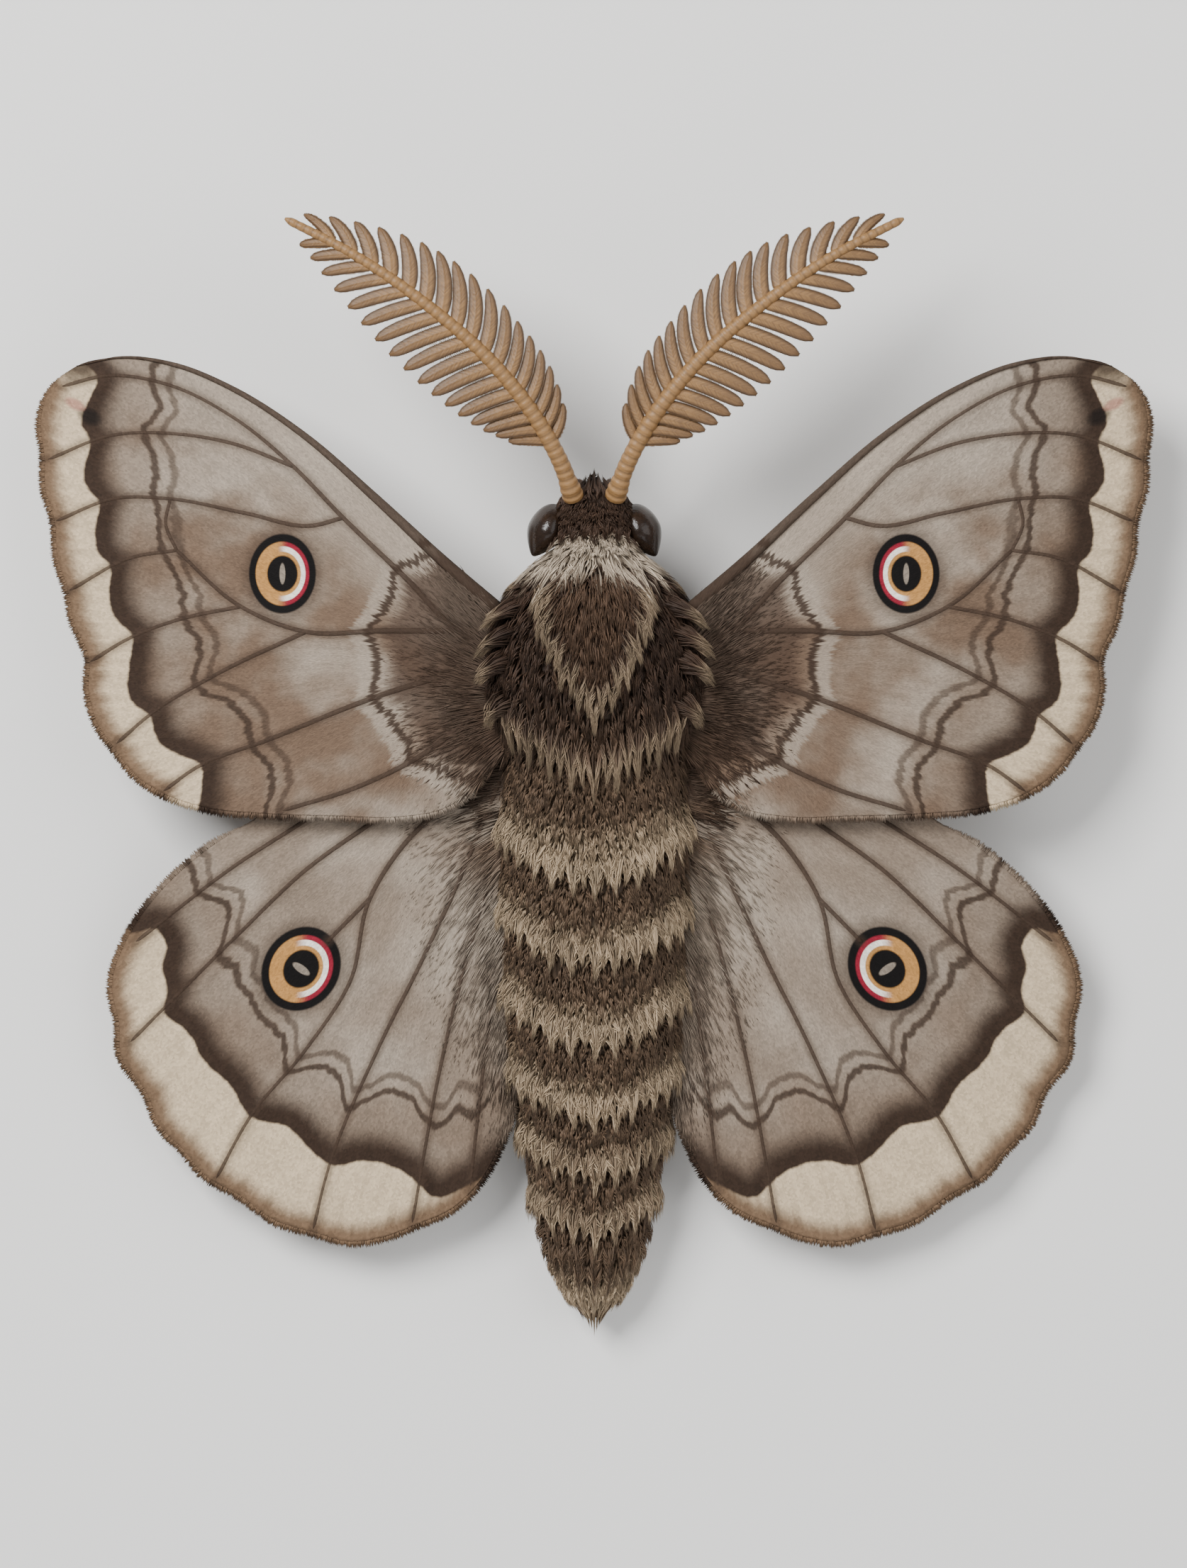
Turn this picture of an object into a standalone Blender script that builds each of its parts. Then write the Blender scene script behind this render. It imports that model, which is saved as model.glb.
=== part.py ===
"""A life-size great peacock moth that stands with its wings spread flat.

Lengths are in millimetres, and MM turns them into metres where a mesh is made.
The head looks along +Y, +X is the moth's right side, +Z is up and the feet stand on Z = 0.
"""

from math import pi, radians

import bmesh
import bpy
import numpy as np
from mathutils import Matrix, Vector
from mathutils.geometry import delaunay_2d_cdt

MM = 0.001
GAP = 0.3

# The body from the tip of the abdomen to the neck: (y, half width, half height, height of the belly).
BODY_STATIONS = (
    (-69.2, 0.7, 0.7, 4.4),
    (-67.0, 2.4, 2.2, 3.2),
    (-63.0, 4.6, 4.0, 1.7),
    (-58.0, 6.3, 5.4, 0.5),
    (-52.0, 7.6, 6.5, -0.25),
    (-44.0, 9.1, 7.8, -0.25),
    (-36.0, 10.4, 8.8, 0.4),
    (-26.0, 11.0, 9.3, 1.4),
    (-12.0, 11.4, 9.8, 3.0),
    (-2.0, 11.2, 9.8, 4.2),
    (2.5, 11.0, 9.8, 4.7),
    (8.0, 12.5, 10.6, 4.8),
    (14.0, 13.1, 10.8, 4.9),
    (20.0, 11.8, 10.1, 5.9),
    (25.0, 8.8, 8.0, 8.0),
    (27.6, 6.6, 6.2, 9.6),
)
BODY_SIDES = 24
NECK_Y = 27.6
WAIST_Y = 2.8
THORAX_ROWS_Y = (WAIST_Y, 5.0, 8.0, 11.0, 14.0, 17.0, 20.0, 22.5, 25.0, 26.5, NECK_Y)

# Where each ring of the abdomen starts on the back, from the waist to the tip. Its front edge bows forward
# on the flanks by a share of the half width, which sets in over the first stretch behind the waist.
RING_STARTS = (2.5, -12.4, -22.6, -32.8, -42.2, -49.8, -57.1, -67.4)
RING_GAP = 0.4
RING_BOW = 0.5
RING_BOW_STRETCH = 8.0
RING_STEP = 0.93

# Locks of fur: where their sections stand along them, the share of the width there, how deep a lock starts
# under the surface and how far it stays over the surface in its middle.
LOCK_STATIONS = np.array([0.0, 0.35, 0.7, 1.0])
LOCK_WIDTHS = np.array([0.8, 1.0, 0.7])
LOCK_THICKNESS = 0.65
LOCK_SINK = 0.9
LOCK_RISE = 0.75
WING_CLEARANCE = 1.25

# Rows of locks over the thorax: (root y, length, width, lift of the tip, locks a side, last angle).
THORAX_FUR = (
    (24.2, 5.6, 2.9, 1.3, 4, 60.0),
    (19.0, 6.4, 3.3, 1.5, 3, 46.0),
    (13.4, 6.6, 3.4, 1.5, 3, 44.0),
)
# Locks along the flanks: (root y, tip x, tip y, angle of the tip from the top).
FLANK_TIPS = (
    (26.0, 9.2, 24.0, 84.0),
    (25.4, 11.7, 22.3, 84.0),
    (22.8, 14.6, 17.8, 67.0),
    (16.4, 15.2, 11.0, 67.0),
    (10.6, 13.6, 5.4, 67.0),
)
# Edge of the mantle over the abdomen: (angle from the top, tip y).
MANTLE_LENGTH = 9.2
MANTLE_TIPS = ((0.0, -3.8), (13.0, -2.6), (26.0, -1.2), (40.0, 0.4), (54.0, 2.0))
# Collar over the back of the head: (angle from the top, tip y).
COLLAR_ROOT = 24.6
COLLAR_TIPS = ((9.0, 30.7), (28.0, 30.2), (46.0, 29.2), (64.0, 28.2))
# Locks along the flanks under the wings.
BELLY_ROOTS = (23.0, 17.6, 12.2, 6.8)
BELLY_LENGTH = 5.6
BELLY_ANGLE = 102.0
# Fringe at the back of each ring of the abdomen, and rows of locks on the last one: (root y, length, count).
FRINGE_ANGLES = (0.0, 14.0, 28.0, 42.0, 56.0, 104.0, 122.0)
FRINGE_REACH = 2.6
TAIL_ROWS = ((-58.9, 6.2, 8), (-63.0, 5.8, 6))
TAIL_SPREAD = 145.0
TAIL_TIP = ((0.0, -63.0, 4.6), (0.0, -69.9, 3.9))
# Locks of the head: directions of root and tip from its centre, lift of the tip and width.
HEAD_LOCKS = (
    ((0.0, 0.35, 0.94), (0.0, 0.98, 0.30), 1.5, 1.9),
    ((0.16, 0.45, 0.86), (0.20, 0.97, 0.20), 1.1, 1.6),
    ((0.05, -0.10, 1.0), (0.12, 0.55, 0.80), 0.8, 2.4),
    ((0.42, -0.15, 0.90), (0.58, 0.35, 0.72), 0.7, 2.4),
    ((0.14, 0.80, 0.42), (0.13, 0.99, -0.08), 0.9, 1.8),
    ((0.42, 0.75, 0.35), (0.45, 0.88, -0.12), 0.8, 1.8),
)

HEAD_CENTRE = (0.0, 32.2, 15.3)
HEAD_HALF = (6.3, 5.0, 5.4)
EYE_SEAT = (5.5, 31.0, 15.5)
EYE_NORMAL = (0.92, 0.38, 0.06)
EYE_HALF = (2.7, 2.9, 3.1)

# Heights of the wings' middle surfaces over the floor.
FORE_ROOT_Z = 18.2
HIND_ROOT_Z = 15.5
MEMBRANE = 0.5
VEIN = 1.1
VEIN_FOOT = 0.6
ROOT_CLEARANCE = 0.4

# Distances between the points of a wing's mesh.
RIM_STEP = 3.6
VEIN_STEP = 4.8
MEMBRANE_STEP = 7.0
MEMBRANE_CLEARANCE = 2.8
FOOT_CLEARANCE = 0.55
RIM_CLEARANCE = 0.8
COSTA_WIDTH = 1.5

# Margin of the right forewing from the front of its root, round the tip, to the back of its root. Its first
# points are the thick front edge.
FORE_EDGE = 6
FORE_MARGIN = (
    (12.1, 20.9), (18.8, 26.8), (27.7, 35.1), (36.6, 42.9), (45.5, 48.7), (52.6, 51.7),
    (59.8, 52.8), (65.4, 51.8), (68.7, 49.0), (70.0, 45.0), (69.5, 40.2), (69.5, 36.8),
    (68.2, 32.2), (67.9, 28.0), (66.5, 23.4), (65.8, 19.6), (63.8, 15.0), (63.9, 10.7),
    (62.7, 6.6), (60.6, 3.6), (58.0, 0.3), (54.6, -2.0), (49.1, -3.9), (41.1, -4.7),
    (32.2, -5.0), (24.4, -5.1), (18.8, -4.0), (14.6, -0.8), (12.6, 3.2),
)
FORE_ROOT = (4.2, 19.8)
RADIAL_FORK = (37.7, 38.8)
CELL_FRONT = (31.5, 32.4)
CELL_CROSS = (53.3, 34.9)
CELL_END = (52.5, 28.4)
MEDIAN_FORK = (44.4, 21.3)
CUBITAL_FORK = (36.2, 18.1)
CELL_BASE = (17.2, 18.2)
FORE_VEINS = (
    ((13.6, 16.4), CELL_BASE, (23.3, 24.5), CELL_FRONT, RADIAL_FORK, (45.5, 45.2), (53.5, 49.2),
     (61.3, 50.5), (66.9, 49.2)),
    (RADIAL_FORK, (45.5, 41.8), (53.0, 43.1), (60.7, 43.0), (68.0, 40.6)),
    (CELL_FRONT, (35.3, 31.4), (43.7, 33.0), CELL_CROSS, (60.5, 35.0), (67.0, 32.9)),
    (CELL_CROSS, (53.9, 31.8), CELL_END),
    (CELL_BASE, (26.8, 18.2), CUBITAL_FORK, MEDIAN_FORK, CELL_END),
    (CELL_END, (58.0, 27.6), (65.4, 24.2)),
    (MEDIAN_FORK, (52.6, 19.6), (58.9, 17.2), (62.8, 15.0)),
    (CUBITAL_FORK, (47.3, 12.9), (55.3, 8.2), (59.6, 4.8)),
    ((14.6, 14.0), (27.7, 9.8), (41.1, 4.5), (50.0, 1.1), (53.6, -1.0)),
    ((14.4, 9.2), (20.6, 3.3), (29.5, -1.3), (38.6, -3.6)),
)

# Margin of the right hindwing from the front of its root, under the forewing, round to the abdomen.
HIND_EDGE = 3
HIND_MARGIN = (
    (15.6, 10.2), (22.5, 6.6), (31.6, 1.0), (42.9, -5.4), (50.0, -10.1), (55.3, -15.0),
    (59.3, -20.6), (61.4, -27.1), (60.5, -31.6), (60.3, -35.6), (57.0, -40.4), (55.3, -44.6),
    (52.2, -47.8), (49.9, -50.6), (45.1, -53.4), (40.4, -56.7), (35.8, -58.0), (31.3, -59.2),
    (26.8, -58.6), (22.6, -57.0), (17.9, -54.8), (14.4, -51.2), (11.3, -44.9), (9.6, -39.6),
)
HIND_ROOT = (-38.0, 10.0)
HIND_FORK = (28.3, -15.4)
HIND_VEINS = (
    ((17.0, 7.0), (26.8, 0.8), (35.7, -5.1), (45.5, -11.4), (57.4, -20.6)),
    ((16.0, 3.6), (26.8, -5.0), (36.6, -12.0), (45.5, -20.5), (58.4, -33.2)),
    ((14.6, 1.0), (19.7, -4.3), (24.2, -8.9), HIND_FORK, (30.8, -25.8), (36.6, -34.7), (43.7, -43.3),
     (47.6, -50.6)),
    (HIND_FORK, (33.2, -20.4)),
    ((13.6, -3.6), (16.6, -12.0), (21.5, -22.7), (27.7, -35.2), (33.6, -49.4), (35.5, -56.8)),
    ((13.0, -13.4), (15.9, -22.2), (19.3, -36.0), (23.2, -55.6)),
    ((12.2, -24.4), (13.7, -34.3), (15.6, -50.8)),
)

PALP = ((1.7, 35.85, 11.4), (1.85, 36.75, 10.2), (1.95, 37.35, 9.0))
PALP_RADII = (0.95, 0.9, 0.45)

# Right antenna: its shaft from the socket to the tip.
ANTENNA = (
    (2.7, 35.4, 20.2), (3.8, 38.2, 21.8), (6.6, 43.5, 23.8), (12.1, 50.7, 25.6), (20.6, 58.3, 26.6),
    (30.4, 65.0, 26.6), (38.4, 69.2, 26.0),
)
SOCKET = (2.4, 34.5, 18.2)
SHAFT_RADII = (1.0, 0.5)
# The outer and the inner row of the antenna's branches: their lengths and their angles to the shaft at places
# along it, and how far each branch turns towards the shaft from its root to its end.
BRANCH_PLACES = (0.15, 0.22, 0.35, 0.5, 0.65, 0.76, 0.88)
BRANCH_ROWS = (
    ((5.0, 6.5, 8.4, 8.9, 7.85, 6.4, 4.0), (58.0, 70.0, 73.0, 64.0, 53.0, 41.0, 30.0), -14.0),
    ((4.9, 6.6, 7.5, 8.5, 7.3, 6.1, 5.2), (45.0, 47.0, 49.0, 46.5, 46.0, 34.0, 13.0), 40.0),
)
BRANCH_WIDTH = 1.3
# The first and the last branch's place along the shaft, the number of branches in a row, and the share by which
# they are closer together at the start than evenly spaced ones.
BRANCH_SPAN = (0.16, 0.87)
BRANCHES = 17
BRANCH_CROWDING = 0.25

# Right legs: coxa, hip, knee, ankle and toe, with the feet on the floor.
LEGS = {
    "front": ((4.2, 18.5, 9.5), (6.3, 18.8, 6.2), (12.8, 18.6, 9.8), (19.6, 20.4, 0.7), (26.0, 22.4, 0.4)),
    "middle": ((4.6, 12.5, 9.0), (6.8, 12.3, 5.4), (14.2, 10.8, 10.4), (21.6, 8.6, 0.7), (28.6, 7.0, 0.4)),
    "hind": ((4.4, 7.0, 9.0), (6.6, 6.4, 5.4), (13.4, 1.2, 9.8), (18.8, -6.8, 0.7), (23.6, -12.6, 0.4)),
}
THIGH_RADII = (1.5, 1.2)
SHIN_RADII = (1.25, 0.9)
FOOT_RADII = (0.75, 0.45)
JOINT_REACH = 1.3


def through(knots, values, at):
    """Values of the smooth curve that passes through the given values at the knots."""
    knots = np.asarray(knots, float)
    values = np.asarray(values, float)
    slopes = np.gradient(values, knots, axis=0)
    at = np.clip(np.asarray(at, float), knots[0], knots[-1])
    i = np.clip(np.searchsorted(knots, at) - 1, 0, len(knots) - 2)
    span = knots[i + 1] - knots[i]
    t = (at - knots[i]) / span
    if values.ndim > 1:
        span, t = span[..., None], t[..., None]
    return (
        (1 + 2 * t) * (1 - t) ** 2 * values[i]
        + t * (1 - t) ** 2 * span * slopes[i]
        + t * t * (3 - 2 * t) * values[i + 1]
        + t * t * (t - 1) * span * slopes[i + 1]
    )


def chord_lengths(points):
    """Distance along the points' own polygon at each of them."""
    steps = np.linalg.norm(np.diff(np.asarray(points, float), axis=0), axis=1)
    return np.concatenate([[0.0], np.cumsum(steps)])


def line_through(points, spacing):
    """A smooth line through the points that keeps each of them, with others about spacing apart."""
    lengths = chord_lengths(points)
    at = [0.0]
    for start, end in zip(lengths[:-1], lengths[1:]):
        pieces = max(1, round((end - start) / spacing))
        at.extend(start + (end - start) * (k + 1) / pieces for k in range(pieces))
    return through(lengths, points, at)


def body_section(y):
    """Half width, half height and height of the centre of the body's section at y."""
    stations = np.array(BODY_STATIONS)
    half_width, half_height, belly = np.moveaxis(through(stations[:, 0], stations[:, 1:], y), -1, 0)
    return half_width, half_height, belly + half_height


def body_point(y, angle, offset=0.0, scale=1.0):
    """Points of the body's surface at y and at an angle from the top, moved out by offset."""
    half_width, half_height, centre = body_section(y)
    x = (half_width * scale + offset) * np.sin(angle)
    z = centre + (half_height * scale + offset) * np.cos(angle)
    return np.stack(np.broadcast_arrays(x, np.asarray(y, float), z), axis=-1)


def body_half_width_at(y, z):
    """Half width of the body at y and at height z."""
    half_width, half_height, centre = body_section(y)
    return half_width * np.sqrt(np.clip(1 - ((z - centre) / half_height) ** 2, 0.0, 1.0))


def wing_arch(x):
    """Height of both wings over their roots: they lift a little and then sink to the tip."""
    out = (np.abs(x) - 11.0) / 59.0
    return 3.0 * out - 10.0 * out**2


def fore_height(x, y):
    """Height of the forewing's middle surface."""
    return FORE_ROOT_Z + wing_arch(x) + 0.02 * (np.asarray(y) - 12.0)


def hind_height(x, y):
    """Height of the hindwing's middle surface, which lies under the forewing and sinks backwards."""
    return HIND_ROOT_Z + wing_arch(x) - 0.13 * np.clip(-np.asarray(y, float), 0.0, None)


def material(name, colour, roughness):
    made = bpy.data.materials.new(name)
    made.use_nodes = True
    shader = made.node_tree.nodes["Principled BSDF"]
    shader.inputs["Base Color"].default_value = (*colour, 1.0)
    shader.inputs["Roughness"].default_value = roughness
    shader.inputs["Metallic"].default_value = 0.0
    return made


def new_object(name, mesh, collection, finish=None):
    made = bpy.data.objects.new(name, mesh)
    collection.objects.link(made)
    if finish:
        mesh.materials.append(finish)
    return made


def mesh_from(name, points, faces):
    """A mesh in metres from points in millimetres, with its faces turned outwards."""
    mesh = bpy.data.meshes.new(name)
    mesh.from_pydata([tuple(p) for p in np.asarray(points) * MM], [], faces)
    shape = bmesh.new()
    shape.from_mesh(mesh)
    bmesh.ops.recalc_face_normals(shape, faces=shape.faces)
    shape.to_mesh(mesh)
    shape.free()
    return mesh


def loft(name, rings, start, end):
    """A closed mesh through rings of points, with a fan of faces to a point at each end."""
    rings = np.asarray(rings)
    count, sides = rings.shape[:2]
    points = [*rings.reshape(-1, 3), start, end]
    first, last = count * sides, count * sides + 1
    faces = []
    for k in range(sides):
        after = (k + 1) % sides
        faces.append((first, after, k))
        faces.append((last, (count - 1) * sides + k, (count - 1) * sides + after))
        for ring in range(count - 1):
            low, high = ring * sides, (ring + 1) * sides
            faces.append((low + k, low + after, high + after))
            faces.append((low + k, high + after, high + k))
    return mesh_from(name, points, faces)


def shade(mesh):
    mesh.shade_smooth()
    mesh.set_sharp_from_angle(angle=radians(40))


def evaluated_mesh(obj):
    graph = bpy.context.evaluated_depsgraph_get()
    graph.update()
    return bpy.data.meshes.new_from_object(obj.evaluated_get(graph))


def tube_mesh(name, points, radii, resolution=2):
    """A round closed tube along the points, with its radius running from the first to the last value."""
    curve = bpy.data.curves.new(name, "CURVE")
    curve.dimensions = "3D"
    curve.bevel_depth = MM
    curve.bevel_resolution = resolution
    curve.use_fill_caps = True
    spline = curve.splines.new("POLY")
    spline.points.add(len(points) - 1)
    lengths = chord_lengths(points)
    for point, place, along in zip(spline.points, points, lengths / lengths[-1]):
        point.co = (*(np.asarray(place) * MM), 1.0)
        point.radius = np.interp(along, np.linspace(0, 1, len(radii)), radii)
    guide = new_object(name, curve, bpy.context.scene.collection)
    mesh = evaluated_mesh(guide)
    bpy.data.objects.remove(guide)
    shape = bmesh.new()
    shape.from_mesh(mesh)
    bmesh.ops.remove_doubles(shape, verts=shape.verts, dist=0.00002)
    bmesh.ops.triangulate(shape, faces=shape.faces)
    bmesh.ops.recalc_face_normals(shape, faces=shape.faces)
    shape.to_mesh(mesh)
    shape.free()
    return mesh


def cut_flat(shape, point, normal):
    """Takes off what lies past a plane and closes the cut with a flat face."""
    geometry = [*shape.verts, *shape.edges, *shape.faces]
    cut = bmesh.ops.bisect_plane(
        shape, geom=geometry, plane_co=Vector(point), plane_no=Vector(normal), clear_outer=True
    )
    edges = [e for e in cut["geom_cut"] if isinstance(e, bmesh.types.BMEdge)]
    bmesh.ops.contextual_create(shape, geom=edges)
    bmesh.ops.recalc_face_normals(shape, faces=shape.faces)


def fused(body, pieces):
    """Joins the pieces to the body with one Boolean union and keeps the largest closed surface.

    The solver is the one for closed meshes, because the exact one leaves edges open where many locks cross.
    """
    union = body.modifiers.new("fuse", "BOOLEAN")
    union.operation = "UNION"
    union.operand_type = "COLLECTION"
    union.collection = pieces
    union.solver = "MANIFOLD"
    joined = evaluated_mesh(body)
    body.modifiers.remove(union)
    body.data = joined
    for piece in list(pieces.objects):
        bpy.data.objects.remove(piece)
    keep_largest(joined)


def keep_largest(mesh):
    shape = bmesh.new()
    shape.from_mesh(mesh)
    shape.verts.ensure_lookup_table()
    left = set(shape.verts)
    groups = []
    while left:
        stack = [left.pop()]
        group = set(stack)
        while stack:
            for edge in stack.pop().link_edges:
                for vert in edge.verts:
                    if vert in left:
                        left.discard(vert)
                        group.add(vert)
                        stack.append(vert)
        groups.append(group)
    groups.sort(key=len)
    for group in groups[:-1]:
        bmesh.ops.delete(shape, geom=list(group), context="VERTS")
    shape.to_mesh(mesh)
    shape.free()


def body_angles():
    return np.linspace(0, 2 * pi, BODY_SIDES, endpoint=False)


def bowed(start, angle):
    """Y at an angle from the top on a line that is at start on the back and bows forward on the flanks."""
    eased = np.clip((RING_STARTS[0] - start) / RING_BOW_STRETCH, 0.0, 1.0)
    return start + RING_BOW * eased * body_section(start)[0] * np.sin(angle) ** 2


def lock(name, centres, ups, width, pieces):
    """A flat, tapered lock along the centres, widest a third of the way along and pointed at its tip."""
    headings = np.gradient(centres, axis=0)
    sides = np.cross(headings, ups)
    sides /= np.linalg.norm(sides, axis=1)[:, None]
    ups = np.cross(sides, headings)
    ups /= np.linalg.norm(ups, axis=1)[:, None]
    across = sides[:-1] * (LOCK_WIDTHS * width / 2)[:, None]
    ridge = centres[:-1] + ups[:-1] * LOCK_THICKNESS / 2
    edges = centres[:-1] - ups[:-1] * LOCK_THICKNESS / 2
    rings = np.stack([edges - across, ridge, edges + across], axis=1)
    new_object(name, loft(name, rings, rings[0].mean(axis=0), centres[-1]), pieces)


def wing_inner_edge(y):
    """Distance of the hindwing's inner edge from the middle of the body at y."""
    inner = [point for point in HIND_MARGIN if point[1] < HIND_ROOT[0] and point[0] < HIND_FORK[0]]
    behind = np.array(sorted(inner, key=lambda point: point[1]))
    beside = root_line(HIND_ROOT, hind_height)
    edge = np.concatenate([behind, beside])
    return np.interp(y, edge[:, 1], edge[:, 0])


def clear_of_wings(points, ups):
    """Lifts the points of an upper lock over the wings, and turns the lock flat where it is lifted."""
    x, y, z = np.abs(points[:, 0]), points[:, 1], points[:, 2]
    near = 1.3 * WING_CLEARANCE
    over_fore = (y > FORE_ROOT[0] - near) & (y < FORE_ROOT[1] + near) & (x > 10.6)
    over_hind = (y < HIND_ROOT[1] + near) & (x > wing_inner_edge(y) - near)
    surface = np.where(over_fore, fore_height(x, y), np.where(over_hind, hind_height(x, y), -WING_CLEARANCE))
    lifted = z < surface + WING_CLEARANCE
    points[:, 2] = np.maximum(z, surface + WING_CLEARANCE)
    ups[lifted] = (0.0, 0.0, 1.0)
    return points, ups


def body_lock(name, root, tip, width, lift, pieces):
    """A lock over the body from one (y, angle) to another, with a sunk root and a lifted tip."""
    rows = root[0] + (tip[0] - root[0]) * LOCK_STATIONS
    angles = np.radians(root[1] + (tip[1] - root[1]) * LOCK_STATIONS)
    offsets = np.interp(LOCK_STATIONS, (0.0, LOCK_STATIONS[1], 1.0), (-LOCK_SINK, LOCK_RISE, lift))
    centres = body_point(rows, angles, offsets)
    ups = body_point(rows, angles, offsets + 1.0) - centres
    if abs(root[1]) < 90:
        centres, ups = clear_of_wings(centres, ups)
    if centres[:, 2].min() > LOCK_THICKNESS:
        lock(name, centres, ups, width, pieces)


def abdomen_fringe(number, pieces, rng):
    """Locks that hang over the start of the next ring."""
    front, back = RING_STARTS[number - 1], RING_STARTS[number]
    width = 1.4 * float(body_section(back)[0]) * radians(FRINGE_ANGLES[1])
    for angle in FRINGE_ANGLES:
        for side in (-1, 1) if angle else (1,):
            cut = float(bowed(back, radians(angle)))
            root = (cut + 0.3 * (front - back), side * angle)
            tip = (cut - FRINGE_REACH * rng.uniform(0.85, 1.1), side * (angle + 2.0))
            body_lock(f"fringe {angle * side}", root, tip, width, 1.2, pieces)


def tail_locks(pieces, rng):
    """Rows of locks down the last ring of the abdomen, and the lock at its tip."""
    for row, (start, length, count) in enumerate(TAIL_ROWS):
        width = 2.1 * float(body_section(start)[0]) * radians(TAIL_SPREAD / count)
        for k, angle in enumerate(np.linspace(-TAIL_SPREAD, TAIL_SPREAD, count)):
            end = start - length * rng.uniform(0.9, 1.1)
            body_lock(f"tail {row} {k}", (start, angle), (end, angle), width, 0.9, pieces)
    start, end = np.array(TAIL_TIP)
    centres = start + (end - start) * LOCK_STATIONS[:, None]
    lock("tail tip", centres, np.tile((0.0, 0.0, 1.0), (len(centres), 1)), 2.6, pieces)


def abdomen_ring(number, finish, collection):
    """One ring of the abdomen, which starts narrow, under the ring before it, and widens backwards."""
    first, last = number == 1, number == len(RING_STARTS) - 1
    front = RING_STARTS[number - 1] - (0.0 if first else RING_GAP)
    along = np.linspace(0.0, 1.0, 5 if last else 4)[:, None]
    starts = front + (RING_STARTS[number] - front) * along
    rows = bowed(starts, body_angles())
    scale = through([0.0, 0.35, 1.0], [1.0 if first else RING_STEP, 1.0, 1.0], along)
    middle = rows.mean(axis=1, keepdims=True)
    rings = body_point(middle + (rows - middle) * scale, body_angles(), 0.0, scale)
    rings[..., 2] = np.maximum(rings[..., 2], 0.0)
    ends = [ring.mean(axis=0) for ring in (rings[0], rings[-1])]
    body = new_object(f"abdomen_{number}", loft(f"abdomen_{number}", rings, *ends), collection, finish)
    pieces = bpy.data.collections.new(f"abdomen {number} locks")
    if last:
        tail_locks(pieces, np.random.default_rng(number))
    else:
        abdomen_fringe(number, pieces, np.random.default_rng(number))
    fused(body, pieces)
    shade(body.data)


def thorax_locks(pieces, rng):
    """Rows of locks over the thorax, the flanks over the wing roots, the mantle's edge and the collar."""
    for row, (root_y, length, width, lift, count, last) in enumerate(THORAX_FUR):
        shift = 0.5 if row % 2 else 0.0
        for k in range(count + 1):
            angle = last * min(1.0, (k + shift) / count)
            for side in (-1, 1) if angle else (1,):
                root = (root_y - 0.035 * angle, side * angle)
                tip = (root[0] - length * rng.uniform(0.9, 1.1), side * (angle + 4.0))
                body_lock(f"row {row} {side * k}", root, tip, width, lift, pieces)
    for side in (-1, 1):
        for root_y, x, y, angle in FLANK_TIPS:
            lift = x / np.sin(radians(angle)) - float(body_section(y)[0])
            root, tip = (root_y, side * (angle - 10.0)), (y, side * angle)
            body_lock(f"flank {side} {x}", root, tip, 3.2, lift, pieces)
        for angle, y in MANTLE_TIPS[0 if side > 0 else 1 :]:
            root, tip = (y + MANTLE_LENGTH, side * angle), (y, side * angle)
            body_lock(f"mantle {side} {angle}", root, tip, 3.2, 1.7, pieces)
        for angle, y in COLLAR_TIPS:
            root, tip = (COLLAR_ROOT, side * angle), (y, side * angle)
            body_lock(f"collar {side} {angle}", root, tip, 2.7, 0.9, pieces)
        for y in BELLY_ROOTS:
            root, tip = (y, side * BELLY_ANGLE), (y - BELLY_LENGTH, side * (BELLY_ANGLE + 4.0))
            body_lock(f"belly {side} {y}", root, tip, 3.0, 1.1, pieces)


def thorax(finish, collection):
    """The thorax, flat at the neck and the waist, with the stubs that the legs stand on."""
    rings = body_point(np.array(THORAX_ROWS_Y)[:, None], body_angles())
    mesh = loft("thorax", rings, rings[0].mean(axis=0), rings[-1].mean(axis=0))
    body = new_object("thorax", mesh, collection, finish)
    pieces = bpy.data.collections.new("thorax pieces")
    for side in (-1, 1):
        for name, (coxa, hip, *_) in LEGS.items():
            stub = tube_mesh(f"coxa {name}", mirrored((coxa, hip), side), (1.9, 1.5))
            new_object(f"coxa {name} {side}", stub, pieces)
    thorax_locks(pieces, np.random.default_rng(11))
    fused(body, pieces)
    shade(body.data)


def mirrored(points, side):
    return [np.array(p, float) * (side, 1, 1) for p in points]


def ball(half, centre, turn=None, segments=18, rings=11):
    """An ellipsoid as a mesh being edited, in millimetres."""
    shape = bmesh.new()
    bmesh.ops.create_uvsphere(shape, u_segments=segments, v_segments=rings, radius=1.0)
    place = Matrix.Translation(centre) @ (turn or Matrix.Identity(4)) @ Matrix.Diagonal((*half, 1.0))
    bmesh.ops.transform(shape, matrix=place, verts=shape.verts)
    return shape


def finish_mesh(name, shape):
    """The edited mesh as a mesh in metres."""
    bmesh.ops.scale(shape, vec=(MM, MM, MM), verts=shape.verts)
    mesh = bpy.data.meshes.new(name)
    shape.to_mesh(mesh)
    shape.free()
    shade(mesh)
    return mesh


def eye_frame(side):
    """The seat's point and outward normal for the eye on one side."""
    normal = Vector((EYE_NORMAL[0] * side, EYE_NORMAL[1], EYE_NORMAL[2])).normalized()
    return Vector((EYE_SEAT[0] * side, EYE_SEAT[1], EYE_SEAT[2])), normal


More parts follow.
